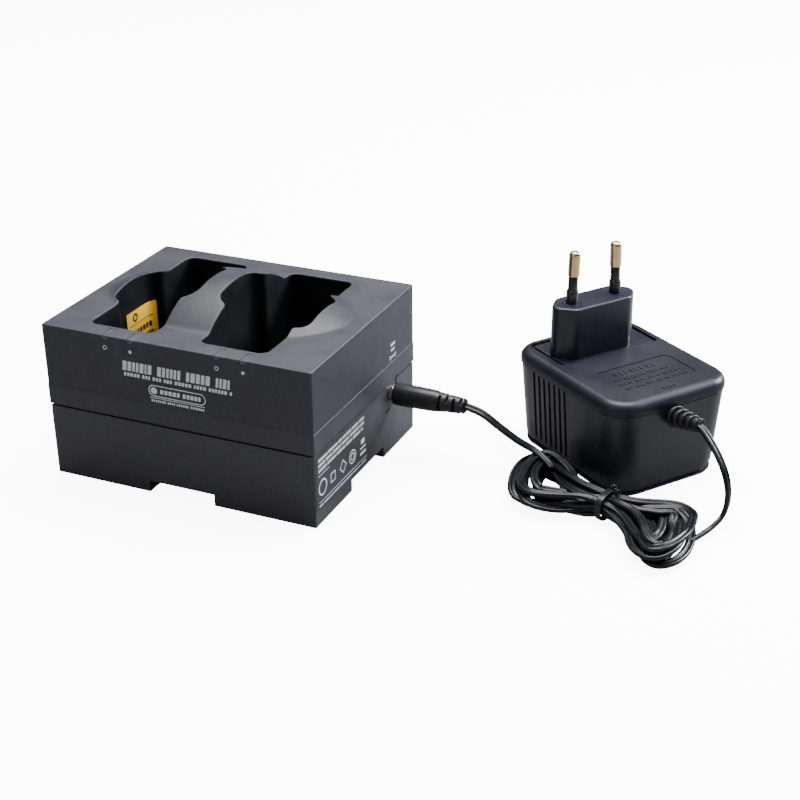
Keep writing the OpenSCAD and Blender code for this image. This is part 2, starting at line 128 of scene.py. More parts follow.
DOCK_M = Matrix.Translation(DOCK) @ Matrix.Scale(MM, 4)
JACK_M = Matrix.Translation(dock((0, JACK_Y, JACK_Z))) @ Matrix.Scale(MM, 4)
SUPPLY_M = (Matrix.Translation(SUPPLY) @ Matrix.Rotation(math.radians(54.5), 4, "Z")
            @ Matrix.Scale(MM, 4))
BOOT_M = (SUPPLY_M @ Matrix.Translation((-1.7, -30.85, 27.9))
          @ Matrix.Rotation(math.radians(82), 4, "X"))


def pin_matrix(side):
    """Frame of a mains pin: z along the pin, from the face of the plug."""
    return (SUPPLY_M @ Matrix.Translation((PLUG_X + side * 9.3, PLUG_Y, PLUG_TOP))
            @ Matrix.Rotation(-side * math.radians(1.66), 4, "Y"))


# ------------------------------------------------------------------ objects
SHARP = 32  # edges bent by more degrees than this stay sharp


def attach(obj, body, stands_for=None):
    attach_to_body(obj, body)
    if stands_for:
        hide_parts(stands_for)


def link(name, mesh):
    obj = bpy.data.objects.new(name, mesh)
    bpy.context.scene.collection.objects.link(obj)
    return obj


def make(name, verts, faces, matrix=DOCK_M, merge=1e-3, sharp=SHARP, mats=(), face_mats=None):
    """New mesh object from millimetre points. Points closer than merge become one."""
    mesh = bpy.data.meshes.new(name)
    bm = bmesh.new()
    made = [bm.verts.new(v) for v in verts]
    for i, face in enumerate(faces):
        new_face = bm.faces.new([made[k] for k in face])
        if face_mats is not None:
            new_face.material_index = face_mats[i]
    if merge:
        bmesh.ops.remove_doubles(bm, verts=bm.verts, dist=merge)
    loose = [v for v in bm.verts if not v.link_faces]
    bmesh.ops.delete(bm, geom=loose, context="VERTS")
    bmesh.ops.recalc_face_normals(bm, faces=bm.faces)
    bm.transform(matrix)
    bm.to_mesh(mesh)
    bm.free()
    obj = link(name, mesh)
    for material in mats:
        mesh.materials.append(material)
    shade(obj, sharp)
    return obj


def shade(obj, sharp=SHARP):
    obj.data.shade_smooth()
    obj.data.set_sharp_from_angle(angle=math.radians(sharp))


def apply_modifiers(obj):
    bpy.context.view_layer.update()
    graph = bpy.context.evaluated_depsgraph_get()
    mesh = bpy.data.meshes.new_from_object(obj.evaluated_get(graph))
    obj.modifiers.clear()
    obj.data = mesh
    mesh.name = obj.name


def weigh(obj):
    """Large flat faces keep flat shading beside small rounded edges."""
    modifier = obj.modifiers.new("weigh", "WEIGHTED_NORMAL")
    modifier.keep_sharp = True
    modifier.weight = 100


def bevel(obj, width, segments, angle=38):
    """Rounds the edges bent by more than angle degrees; width in millimetres."""
    modifier = obj.modifiers.new("bevel", "BEVEL")
    modifier.width = width * MM
    modifier.segments = segments
    modifier.limit_method = "ANGLE"
    modifier.angle_limit = math.radians(angle)
    modifier.use_clamp_overlap = True
    modifier.miter_outer = "MITER_ARC"
    apply_modifiers(obj)
    shade(obj)
    weigh(obj)


def tidy(obj):
    """Welds the slivers a cut and a bevel leave, and splits many-sided faces evenly."""
    sliver = 0.004 * MM
    bm = bmesh.new()
    bm.from_mesh(obj.data)
    bmesh.ops.remove_doubles(bm, verts=bm.verts, dist=sliver)
    bmesh.ops.dissolve_degenerate(bm, dist=sliver, edges=bm.edges)
    wide = [f for f in bm.faces if len(f.verts) > 4]
    bmesh.ops.triangulate(bm, faces=wide, ngon_method="BEAUTY")
    bmesh.ops.dissolve_degenerate(bm, dist=sliver, edges=bm.edges)
    bm.to_mesh(obj.data)
    bm.free()
    shade(obj)


def cut(obj, *cutters, operation="DIFFERENCE"):
    for cutter in cutters:
        modifier = obj.modifiers.new("bool", "BOOLEAN")
        modifier.operation = operation
        modifier.solver = "EXACT"
        modifier.object = cutter
    apply_modifiers(obj)
    for cutter in cutters:
        mesh = cutter.data
        bpy.data.objects.remove(cutter)
        bpy.data.meshes.remove(mesh)


# ------------------------------------------------------------------ shapes
def skin(rings, caps=True, looped=False):
    """Points and faces through rings of equal length. looped joins the last to the first."""
    n, count = len(rings[0]), len(rings)
    faces = []
    for i in range(count if looped else count - 1):
        here, beyond = i * n, (i + 1) % count * n
        for k in range(n):
            j = (k + 1) % n
            faces.append((here + k, here + j, beyond + j, beyond + k))
    if caps:
        faces.append(tuple(reversed(range(n))))
        faces.append(tuple(range((count - 1) * n, count * n)))
    return [point for ring in rings for point in ring], faces


def circle(radius, count, x=0.0, y=0.0, start=0.0):
    angles = [start + 2 * math.pi * k / count for k in range(count)]
    return [(x + radius * math.cos(a), y + radius * math.sin(a)) for a in angles]


def at_height(points, z):
    return [(p[0], p[1], z) for p in points]


def revolve(profile, count=64, axis="Z", looped=False):
    """Solid of revolution from (radius, height) points. looped closes the profile on itself."""
    rings = []
    for radius, height in profile:
        ring = circle(radius, count)
        rings.append(at_height(ring, height) if axis == "Z" else [(height, *p) for p in ring])
    return skin(rings, caps=False, looped=looped)


def round_corners(points, radius, steps, closed=False):
    """Rounds the corners of a polyline; the ends of an open one stay."""
    m = len(points)
    rounded = []
    for i in range(m) if closed else range(1, m - 1):
        a, b, c = (np.array(points[k % m], float) for k in (i - 1, i, i + 1))
        to_a, to_c = np.linalg.norm(a - b), np.linalg.norm(c - b)
        reach = min(radius, to_a * 0.45, to_c * 0.45)
        start, end = b + (a - b) / to_a * reach, b + (c - b) / to_c * reach
        for k in range(steps + 1):
            t = k / steps
            rounded.append(tuple((1 - t) ** 2 * start + 2 * t * (1 - t) * b + t * t * end))
    return rounded if closed else [points[0], *rounded, points[-1]]


def rounded_rect(half_x, half_y, radius, steps, x=0.0, y=0.0):
    """Counterclockwise, with steps segments in each corner and none along the sides."""
    points = []
    for side_x, side_y, start in ((1, -1, -90), (1, 1, 0), (-1, 1, 90), (-1, -1, 180)):
        for k in range(steps + 1):
            t = math.radians(start + 90 * k / steps)
            points.append((x + side_x * (half_x - radius) + radius * math.cos(t),
                           y + side_y * (half_y - radius) + radius * math.sin(t)))
    return points


def directions(path):
    """Unit tangent at each point of an open path."""
    tangents = np.gradient(path, axis=0)
    return tangents / np.linalg.norm(tangents, axis=1)[:, None]


def cutter(rings, matrix):
    return make("cutter", *skin(rings), matrix)


def cylinder_cutter(radius, count, z0, z1, matrix):
    return cutter([at_height(circle(radius, count), z) for z in (z0, z1)], matrix)


def box_cutter(x_range, y_range, z_range, matrix=DOCK_M):
    (x0, x1), (y0, y1) = x_range, y_range
    corners = [(x, y, z) for z in z_range for x, y in ((x0, y0), (x1, y0), (x1, y1), (x0, y1))]
    faces = [(0, 3, 2, 1), (4, 5, 6, 7), (0, 1, 5, 4), (1, 2, 6, 5), (2, 3, 7, 6), (3, 0, 4, 7)]
    return make("cutter", corners, faces, matrix)


class MeshParts:
    """Collects points and faces of one mesh, with a material index per face."""

    def __init__(self):
        self.verts, self.faces, self.mats = [], [], []

    def add(self, verts, faces, mat=0):
        first = len(self.verts)
        self.verts += verts
        self.faces += [tuple(first + i for i in face) for face in faces]
        self.mats += [mat] * len(faces)

    def ring(self, xy, z):
        """Adds points at height z, one value or one per point, and returns their indices."""
        z = np.broadcast_to(z, (len(xy),))
        first = len(self.verts)
        self.verts += [(float(a), float(b), float(c)) for (a, b), c in zip(xy, z)]
        return list(range(first, first + len(xy)))

    def bridge(self, ring0, ring1, mat=0):
        n = len(ring0)
        for k in range(n):
            j = (k + 1) % n
            self.faces.append((ring0[k], ring0[j], ring1[j], ring1[k]))
            self.mats.append(mat)

    def extend(self, last, xy, z, mat=0):
        """Carries the surface from the ring last to a new ring, which it returns."""
        ring = self.ring(xy, z)
        self.bridge(last, ring, mat)
        return ring

    def sheet(self, xy, triangles, z, mat=0):
        ring = self.ring(xy, z)
        for triangle in triangles:
            self.faces.append(tuple(ring[i] for i in triangle))
            self.mats.append(mat)


# ------------------------------------------------------------------ shader helpers
class Shader:
    """The node tree of a material or world while it is put together."""

    def __init__(self, owner):
        owner.use_nodes = True
        self.tree = owner.node_tree

    def set(self, node, values):
        """Links or fills inputs, given by name or index."""
        for key, value in values.items():
            socket = node.inputs[key]
            if isinstance(value, bpy.types.NodeSocket):
                self.tree.links.new(value, socket)
            else:
                socket.default_value = (*value, 1) if socket.type == "RGBA" else value
        return node

    def node(self, kind, inputs=None, **settings):
        made = self.tree.nodes.new(kind)
        for name, value in settings.items():
            setattr(made, name, value)
        return self.set(made, inputs or {})

    def coords(self):
        return self.node("ShaderNodeTexCoord").outputs["Object"]

    def noise(self, vector, scale, detail=4.0, rough=0.55):
        inputs = {"Vector": vector, "Scale": scale, "Detail": detail, "Roughness": rough}
        return self.node("ShaderNodeTexNoise", inputs).outputs["Fac"]

    def bands(self, vector, direction, scale, distortion, detail):
        inputs = {"Vector": vector, "Scale": scale, "Distortion": distortion, "Detail": detail}
        return self.node("ShaderNodeTexWave", inputs, wave_type="BANDS",
                         bands_direction=direction).outputs["Fac"]

    def ramp(self, fac, stops):
        """stops are (position, colour)."""
        made = self.node("ShaderNodeValToRGB", {"Fac": fac})
        elements = made.color_ramp.elements
        for i in (0, -1):
            elements[i].position, elements[i].color = stops[i][0], (*stops[i][1], 1)
        for position, colour in stops[1:-1]:
            elements.new(position).color = (*colour, 1)
        return made.outputs["Color"]

    def map_range(self, value, source, target):
        return self.node("ShaderNodeMapRange", {
            "Value": value, "From Min": source[0], "From Max": source[1],
            "To Min": target[0], "To Max": target[1]}).outputs["Result"]

    def mix(self, fac, a, b):
        # inputs 6 and 7 and output 2 are the colours of the mix node
        return self.node("ShaderNodeMix", {0: fac, 6: a, 7: b}, data_type="RGBA").outputs[2]

    def bump(self, bsdf, heights):
        """Chains bumps: (height output, strength, distance in mm)."""
        normal = None
        for height, strength, distance in heights:
            inputs = {"Strength": strength, "Distance": distance * MM, "Height": height}
            if normal is not None:
                inputs["Normal"] = normal
            normal = self.node("ShaderNodeBump", inputs).outputs["Normal"]
        self.set(bsdf, {"Normal": normal})


def new_material(name):
    material = bpy.data.materials.new(name)
    shader = Shader(material)
    return material, shader, shader.tree.nodes["Principled BSDF"]


def scaled(colour, factor, added=0.0):
    return tuple(min(1, c * factor + added) for c in colour)


PATCHES = (0.3, 0.7)  # the span of noise that most patches fall in


# ------------------------------------------------------------------ kinds of material
def plastic(name, dark, light, rough, grain_mm, grain, spec=0.5, coat=0.0, wear_and_highlight=0.0,
            mottling=90.0, wavy=0.0):
    """Moulded plastic: fine grain, slow mottling of colour and gloss, and lighter sharp edges that are
    partly wear and partly painted highlight.
    """
    material, shader, bsdf = new_material(name)
    coords = shader.coords()
    fine = shader.noise(coords, 1.0 / (grain_mm * MM), detail=2.0)
    slow = shader.noise(coords, mottling, detail=5.0, rough=0.6)
    mid = shader.noise(coords, 700.0, detail=3.0)
    colour = shader.ramp(slow, [(0.3, dark), (0.7, light)])
    paler = shader.map_range(mid, source=(0.35, 0.75), target=(0.0, 0.5))
    colour = shader.mix(paler, colour, scaled(light, 1.6))
    # lighter colour on sharp edges: partly wear, partly a painted highlight where the edges catch the light
    if wear_and_highlight:
        pointiness = shader.node("ShaderNodeNewGeometry").outputs["Pointiness"]
        edge = shader.map_range(pointiness, source=(0.505, 0.56), target=(0.0, wear_and_highlight))
        colour = shader.mix(edge, colour, scaled(light, 2.6, added=0.01))
    shader.set(bsdf, {
        "Base Color": colour,
        "Roughness": shader.map_range(slow, PATCHES, target=(rough - 0.06, rough + 0.08)),
        "Specular IOR Level": spec})
    if coat:
        shader.set(bsdf, {"Coat Weight": coat, "Coat Roughness": 0.18})
    heights = [(fine, grain, 0.03)]
    if wavy:
        heights.append((shader.noise(coords, 120.0, detail=2.0), wavy, 0.12))
    shader.bump(bsdf, heights)
    return material


def metal(name, colour, rough, stretch=(1, 1, 1), scratch=0.2, tint=None):
    """Metal with fine streaks, drawn out along the axes where stretch is far below 1."""
    material, shader, bsdf = new_material(name)
    coords = shader.coords()
    mapping = shader.node("ShaderNodeMapping", {"Scale": stretch, "Vector": coords})
    streak = shader.noise(mapping.outputs["Vector"], 1800.0)
    slow = shader.noise(coords, 260.0)
    shown = shader.ramp(slow, [(0.3, scaled(colour, 0.8)), (0.7, colour)])
    if tint:
        stain = shader.map_range(slow, source=(0.45, 0.7), target=(0.0, 0.6))
        shown = shader.mix(stain, shown, tint)
    shader.set(bsdf, {
        "Base Color": shown, "Metallic": 1.0,
        "Roughness": shader.map_range(streak, PATCHES, target=(rough - 0.05, rough + 0.12))})
    shader.bump(bsdf, [(streak, scratch, 0.01)])
    return material


def film(name, colour, rough, grain, spec):
    """Thin print or label stock."""
    material, shader, bsdf = new_material(name)
    coords = shader.coords()
    slow = shader.noise(coords, 140.0)
    fine = shader.noise(coords, 2600.0, detail=2.0)
    shader.set(bsdf, {
        "Base Color": shader.ramp(slow, [(0.3, scaled(colour, 0.88)), (0.7, colour)]),
        "Roughness": shader.map_range(fine, PATCHES, target=(rough - 0.05, rough + 0.07)),
        "Specular IOR Level": spec})
    shader.bump(bsdf, [(fine, grain, 0.01)])
    return material


def board(name, solder, track):
    """Solder mask over copper: tracks as slightly lighter stripes, with small pads."""
    material, shader, bsdf = new_material(name)
    coords = shader.coords()
    cells = shader.node("ShaderNodeTexVoronoi", {"Scale": 420.0, "Vector": coords},
                        feature="F1", distance="MANHATTAN").outputs["Distance"]
    stripes = shader.bands(coords, "X", scale=190.0, distortion=1.2, detail=2.0)
    tracks = shader.map_range(stripes, source=(0.62, 0.72), target=(0.0, 1.0))
    colour = shader.mix(tracks, solder, track)
    pads = shader.map_range(cells, source=(0.10, 0.16), target=(1.0, 0.0))
    colour = shader.mix(pads, colour, (0.75, 0.74, 0.68))
    shader.set(bsdf, {"Base Color": colour, "Roughness": 0.35, "Coat Weight": 0.5})
    shader.bump(bsdf, [(stripes, 0.3, 0.04), (shader.noise(coords, 1500.0), 0.1, 0.01)])
    return material


def striped(name, valley, ridge, direction, scale, rough, metallic, depth):
    """Stacked sheets or wound wire: fine parallel bands with relief."""
    material, shader, bsdf = new_material(name)
    coords = shader.coords()
    stripes = shader.bands(coords, direction, scale, distortion=0.6, detail=1.0)
    slow = shader.noise(coords, 120.0)
    colour = shader.mix(stripes, valley, ridge)
    darker = shader.map_range(slow, source=(0.4, 0.7), target=(0.0, 0.5))
    colour = shader.mix(darker, colour, scaled(valley, 0.5))
    shader.set(bsdf, {
        "Base Color": colour, "Metallic": metallic,
        "Roughness": shader.map_range(slow, PATCHES, target=(rough - 0.08, rough + 0.1))})
    shader.bump(bsdf, [(stripes, 0.5, depth)])
    return material


# ------------------------------------------------------------------ materials
COVER = plastic("cover_plastic", dark=(0.0135, 0.0132, 0.0185), light=(0.0210, 0.0206, 0.0270),
                rough=0.50, grain_mm=0.30, grain=0.60, spec=0.40, wear_and_highlight=0.30, mottling=70.0)
# plastic of the bays: the cover's plastic made several times darker and less glossy, painted shade for the
# deep wells
WELL_SHADE = plastic("well_plastic_painted_shade", dark=(0.0028, 0.0028, 0.0038), light=(0.005, 0.005, 0.007),
               rough=0.46, grain_mm=0.35, grain=0.25, spec=0.16, mottling=110.0)
BASE = plastic("base_plastic", dark=(0.0135, 0.0132, 0.0180), light=(0.0215, 0.0212, 0.0270),
               rough=0.50, grain_mm=0.30, grain=0.60, spec=0.44, wear_and_highlight=0.28, mottling=80.0)
CASE = plastic("supply_plastic", dark=(0.0040, 0.0042, 0.0078), light=(0.0068, 0.0072, 0.0125),
               rough=0.37, grain_mm=0.45, grain=0.20, spec=0.38, coat=0.04, wear_and_highlight=0.20,
               mottling=60.0, wavy=0.05)
LID = plastic("lid_plastic", dark=(0.0034, 0.0037, 0.0068), light=(0.0058, 0.0064, 0.0110),
              rough=0.40, grain_mm=0.40, grain=0.30, spec=0.26, coat=0.02, wear_and_highlight=0.25,
              mottling=60.0, wavy=0.06)
PLUG = plastic("plug_plastic", dark=(0.0038, 0.0040, 0.0090), light=(0.0064, 0.0070, 0.0150),
               rough=0.34, grain_mm=0.50, grain=0.16, spec=0.42, coat=0.05, wear_and_highlight=0.25,
               mottling=75.0)
SLEEVE = plastic("sleeve_plastic", dark=(0.004, 0.004, 0.005), light=(0.008, 0.008, 0.010),
                 rough=0.35, grain_mm=0.40, grain=0.15, spec=0.55, coat=0.1)
CABLE = plastic("cable_rubber", dark=(0.0024, 0.0026, 0.0040), light=(0.0048, 0.0052, 0.0078),
                rough=0.30, grain_mm=0.46, grain=0.10, spec=0.26, mottling=160.0, wavy=0.10)
GRIP = plastic("grip_rubber", dark=(0.0038, 0.0038, 0.0052), light=(0.0075, 0.0075, 0.0098),
               rough=0.38, grain_mm=0.40, grain=0.22, spec=0.30, wear_and_highlight=0.2)
CHIP = plastic("chip_epoxy", dark=(0.012, 0.012, 0.012), light=(0.03, 0.03, 0.03),
               rough=0.55, grain_mm=0.18, grain=0.5)
NYLON = plastic("nylon", dark=(0.55, 0.52, 0.44), light=(0.68, 0.65, 0.57),
                rough=0.42, grain_mm=0.5, grain=0.15)
SHRINK = plastic("shrink_sleeve", dark=(0.010, 0.014, 0.05), light=(0.02, 0.028, 0.085),
                 rough=0.28, grain_mm=0.5, grain=0.12, coat=0.2)
WIRE = plastic("wire_pvc", dark=(0.32, 0.02, 0.015), light=(0.45, 0.035, 0.025),
               rough=0.32, grain_mm=0.5, grain=0.1)
CERAMIC = plastic("fuse_ceramic", dark=(0.45, 0.44, 0.40), light=(0.6, 0.58, 0.53),
                  rough=0.45, grain_mm=0.4, grain=0.2)
PIPE = plastic("light_pipe", dark=(0.030, 0.030, 0.034), light=(0.055, 0.055, 0.060),
               rough=0.20, grain_mm=0.6, grain=0.08, coat=0.1)
LAMP = plastic("lamp_lens", dark=(0.62, 0.62, 0.55), light=(0.78, 0.78, 0.70),
               rough=0.12, grain_mm=0.8, grain=0.05, coat=0.5)
GOLD = metal("plated_contact", (0.83, 0.62, 0.30), rough=0.20, stretch=(1, 1, 0.15), scratch=0.15)
NICKEL = metal("pin_nickel", (0.70, 0.49, 0.27), rough=0.14, stretch=(1, 1, 0.12), scratch=0.12,
               tint=(0.56, 0.36, 0.19))
BARREL = metal("barrel_nickel", (0.72, 0.70, 0.66), rough=0.22, stretch=(0.15, 1, 1),
               scratch=0.15)
STEEL = metal("zinc_steel", (0.55, 0.55, 0.57), rough=0.32, scratch=0.25)
SPRING = metal("spring_steel", (0.6, 0.6, 0.62), rough=0.28, stretch=(1, 1, 4))
BOARD = board("board_mask", solder=(0.012, 0.075, 0.028), track=(0.03, 0.13, 0.05))
CORE = striped("core_laminations", valley=(0.12, 0.12, 0.125), ridge=(0.30, 0.30, 0.31),
               direction="Z", scale=620.0, rough=0.45, metallic=0.9, depth=0.05)
COPPER = striped("copper_winding", valley=(0.42, 0.14, 0.05), ridge=(0.62, 0.24, 0.09),
                 direction="X", scale=900.0, rough=0.38, metallic=0.6, depth=0.08)
FINE_COPPER = striped("copper_winding_fine", valley=(0.45, 0.17, 0.06), ridge=(0.66, 0.28, 0.11),
                      direction="X", scale=1500.0, rough=0.38, metallic=0.6, depth=0.05)
LABEL = film("label_film", (0.016, 0.0165, 0.022), rough=0.40, grain=0.10, spec=0.4)
PRINT = film("print_white", (0.66, 0.67, 0.69), rough=0.55, grain=0.18, spec=0.3)
YELLOW = film("label_yellow", (0.78, 0.43, 0.025), rough=0.38, grain=0.10, spec=0.45)
INK = film("label_ink", (0.02, 0.017, 0.012), rough=0.5, grain=0.1, spec=0.3)

PLACES = ("left_front", "left_rear", "right_front", "right_rear")
NODE_MATERIALS = {
    "main_board": BOARD, "indicator_board": BOARD, "rectifier_board": BOARD,
    "charge_chips": CHIP, "voltage_regulator": CHIP, "rectifier_diodes": CHIP,
    "board_capacitors": SHRINK, "supply_capacitor": SHRINK, "indicator_lamps": LAMP,
    "dc_jack_pin": GOLD, "contact_sleeves": GOLD,
    **{"contact_" + place: GOLD for place in PLACES},
    **{"spring_" + place: SPRING for place in PLACES},
    "case_screws": STEEL, "board_screws": STEEL, "dc_jack_shell": CHIP,
    "plug_insulator": NYLON, "bobbin": NYLON, "transformer_core": CORE,
    "primary_winding": COPPER, "secondary_winding": FINE_COPPER, "thermal_fuse": CERAMIC,
    "supply_wires": WIRE,
}


def dress_cad_nodes():
    for name, material in NODE_MATERIALS.items():
        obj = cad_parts[name]
        if not obj.material_slots:
            obj.data.materials.append(material)
        for slot in obj.material_slots:
            slot.material = material


# ------------------------------------------------------------------ station: upper cover
CROWN_X, CROWN_Y = -1.0, 1.0  # middle of the crown
CROWN_RADIUS = 45.0  # across the station, at the middle
CROWN_HALF, CROWN_DROP = 46.0, 9.0  # half length, and the fall of its lengthwise arc over it
CROWN_ARC = (CROWN_HALF**2 + CROWN_DROP**2) / (2 * CROWN_DROP)


def crown(x, y):
    """Height of the crown; far below everything where it doesn't reach."""
    radius = np.sqrt(np.maximum(CROWN_ARC**2 - (x - CROWN_X) ** 2, 0)) - (CROWN_ARC - CROWN_RADIUS)
    rise = np.maximum(radius, 0) ** 2 - (y - CROWN_Y) ** 2
    height = CREST - CROWN_RADIUS + np.sqrt(np.maximum(rise, 0))
    return np.where((radius > 0) & (rise > 0), height, -99.0)


def top_z(x, y):
    """Deck and crown with a blend where they meet, soft at the left and crisp at the right."""
    s = np.clip((x - 12.0) / 16.0, 0, 1)
    k = 0.7 - 0.5 * s * s * (3 - 2 * s)
    d = crown(x, y) - DECK
    return DECK + np.where(d >= k, d, np.where(d <= -k, 0.0, (d + k) ** 2 / (4 * k)))


def arc(centre_x, centre_y, radius, start, end, steps, inward=False):
    """Points (x, y, normal x, normal y) from start to end in degrees."""
    points = []
    for k in range(steps + 1):
        t = math.radians(start + (end - start) * k / steps)
        c, s = math.cos(t), math.sin(t)
        x, y = centre_x + radius * c, centre_y + radius * s
        points.append((x, y, -c, -s) if inward else (x, y, c, s))
    return points


def between(start, end, count):
    """The points that divide a line into count parts, without its ends."""
    (x0, y0), (x1, y1) = start, end
    return [(x0 + (x1 - x0) * k / count, y0 + (y1 - y0) * k / count) for k in range(1, count)]


def straight(start, end, normal_x, normal_y):
    count = max(1, int(math.dist(start, end) / 1.1))
    return [(x, y, normal_x, normal_y) for x, y in between(start, end, count)]


def bay_path(centre_x):
    """Outline of a bay with outward normals, counterclockwise: narrow ends, a bulge between
    them, and soft inner corners where they meet."""
    narrow, wide = 12.35, 16.8  # half widths
    front, back = -32.6, 33.3
    end_r, bulge_r, neck_r = 3.0, 6.0, 2.3
    bulge_y = 7.9  # centre of the bulge's corners
    end_x, bulge_x, neck_x = narrow - end_r, wide - bulge_r, narrow + neck_r
    neck_y = bulge_y + math.sqrt((bulge_r + neck_r) ** 2 - (neck_r + narrow - (wide - bulge_r)) ** 2)
    # direction from a soft corner's centre to the bulge corner's, in degrees
    meet = math.degrees(math.atan2(neck_y - bulge_y, bulge_x - neck_x))
    right = (
        arc(end_x, front + end_r, end_r, -90, 0, 8)
        + straight((narrow, front + end_r), (narrow, -neck_y), 1, 0)
        + arc(neck_x, -neck_y, neck_r, 180, meet, 7, inward=True)
        + arc(bulge_x, -bulge_y, bulge_r, meet - 180, 0, 12)[1:]
        + straight((wide, -bulge_y), (wide, bulge_y), 1, 0)
        + arc(bulge_x, bulge_y, bulge_r, 0, 180 - meet, 12)
        + arc(neck_x, neck_y, neck_r, -meet, -180, 7, inward=True)[1:]
        + straight((narrow, neck_y), (narrow, back - end_r), 1, 0)
        + arc(end_x, back - end_r, end_r, 0, 90, 8))
    back_side = straight((end_x, back), (-end_x, back), 0, 1)
    left = [(-x, y, -nx, ny) for x, y, nx, ny in reversed(right)]
    front_side = straight((-end_x, front), (end_x, front), 0, -1)
    path = right + back_side + left + front_side
    return np.array([(x + centre_x, y, nx, ny) for x, y, nx, ny in path])


def offset(path, distance):
    return path[:, :2] + path[:, 2:] * distance


def divided_rect(half_x, half_y, radius=0.7):
    """Rounded rectangle, counterclockwise, with its sides divided too."""
    x, y = half_x - radius, half_y - radius
    corners = [[p[:2] for p in arc(cx, cy, radius, start, start + 90, 6)]
               for cx, cy, start in ((x, -y, -90), (x, y, 0), (-x, y, 90), (-x, -y, 180))]
    points = []
    for corner, following in zip(corners, corners[1:] + corners[:1]):
        points += corner + between(corner[-1], following[0], 24)
    return np.array(points)


def inside(polygon, points):
    """Which of the points lie inside the closed polygon."""
    x, y = points[:, 0], points[:, 1]
    result = np.zeros(len(points), bool)
    for (x0, y0), (x1, y1) in zip(polygon, np.roll(polygon, -1, 0)):
        crosses = (y0 > y) != (y1 > y)
        height = y1 - y0 if y1 != y0 else 1e-12
        result ^= crosses & (x < (x1 - x0) * (y - y0) / height + x0)
    return result


def fill(outer, holes, extra=np.zeros((0, 2)), margin=0.0):
    """Triangles between an outer loop and holes, through the extra points that keep a margin
    from every loop. Returns points and triangles."""
    loops = [np.asarray(loop) for loop in (outer, *holes)]

    def covered(points):
        keep = inside(loops[0], points)
        for hole in loops[1:]:
            keep &= ~inside(hole, points)
        return keep

    extra = extra[covered(extra)]
    distance = np.linalg.norm(extra[:, None] - np.vstack(loops)[None], axis=2).min(1)
    points = np.vstack(loops + [extra[distance > margin]])
    edges, first = [], 0
    for loop in loops:
        n = len(loop)
        edges += [(first + k, first + (k + 1) % n) for k in range(n)]
        first += n
    flat = [Vector((float(x), float(y))) for x, y in points]
    found, _, triangles, *_ = delaunay_2d_cdt(flat, edges, [], 0, 1e-7)
    found = np.array([(p.x, p.y) for p in found])
    triangles = np.array([t for t in triangles if len(t) == 3])
    return found, triangles[covered(found[triangles].mean(1))]


def crown_grid(x0, x1, y0, y1, step):
    """Staggered grid of points under and just round the crown."""
    points = []
    for j, y in enumerate(np.arange(y0, y1 + 1e-9, step * 0.866)):
        for x in np.arange(x0 + (step / 2 if j % 2 else 0), x1 + 1e-9, step):
            points.append((x, y))
    points = np.array(points)
    return points[crown(points[:, 0], points[:, 1]) - DECK > -3.0]


BAY_EDGE = 0.55  # radius along the bay edges


def add_bay(parts, centre_x, path):
    """Rounded edge, wall and floor of a bay, and the tub round it. Material 1 is the well plastic, the
    cover's plastic darkened as painted shade.
    """
    xy = offset(path, BAY_EDGE)
    last = parts.ring(xy, top_z(*xy.T))
    for k in range(1, 6):
        t = math.radians(90 * k / 5)
        xy = offset(path, BAY_EDGE * (1 - math.sin(t)))
        z = top_z(*xy.T) - BAY_EDGE * (1 - math.cos(t))
        last = parts.extend(last, xy, z, 0 if k < 3 else 1)
    for distance, z in (
            (0.0, DECK - 4.0), (0.0, 44.0), (0.0, 30.0), (0.0, BAY_FLOOR + 1.2),
            (-0.15, BAY_FLOOR + 0.6), (-0.6, BAY_FLOOR + 0.15), (-1.2, BAY_FLOOR)):
        last = parts.extend(last, offset(path, distance), z, 1)
    holes = [np.array(circle(1.05, 32, centre_x, side * 7.0)) for side in (-1, 1)]
    parts.sheet(*fill(offset(path, -1.2), holes), BAY_FLOOR, 1)
    tub = offset(path, TUB_WALL)
    upper = parts.ring(tub, top_z(*tub.T) - ROOF)
    lower = parts.ring(tub, TUB_Z0)
    parts.bridge(lower, upper)
    parts.sheet(*fill(tub, holes), TUB_Z0)
    for hole in holes:
        parts.bridge(parts.ring(hole, BAY_FLOOR), parts.ring(hole, TUB_Z0), 1)


def pipe_places():
    """Middle of each light pipe in x, from the groups of points in the CAD node."""
    xs = sorted((v.co.x - DOCK.x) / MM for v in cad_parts["light_pipes"].data.vertices)
    groups = [[xs[0]]]
    for x in xs[1:]:
        if x - groups[-1][-1] > 3.0:
            groups.append([])
        groups[-1].append(x)
    return [(group[0] + group[-1]) / 2 for group in groups]


PIPES = pipe_places()


def cover_cutters():
    """Slots for the light pipes, and room for the socket under the right side."""
    front = station_box("light_pipes")[0][1] - 0.25
    cutters = []
    for x in PIPES:
        for y_range, z_range in (
                ((front - 1, front + 5.97), (DECK - 0.98, DECK + 1)),
                ((front - 1, front + 0.97), (DECK - 1.66, DECK + 0.5)),
                ((front + 3.42, front + 5.97), (DECK - 5, DECK + 0.5))):
            cutters.append(box_cutter((x - 1.12, x + 1.12), y_range, z_range))
    cutters.append(box_cutter((HALF_X - 4, HALF_X + 1), (JACK_Y - 4.7, JACK_Y + 4.7),
                              (COVER_Z0 - 1, COVER_Z0 + 0.6)))
    return cutters


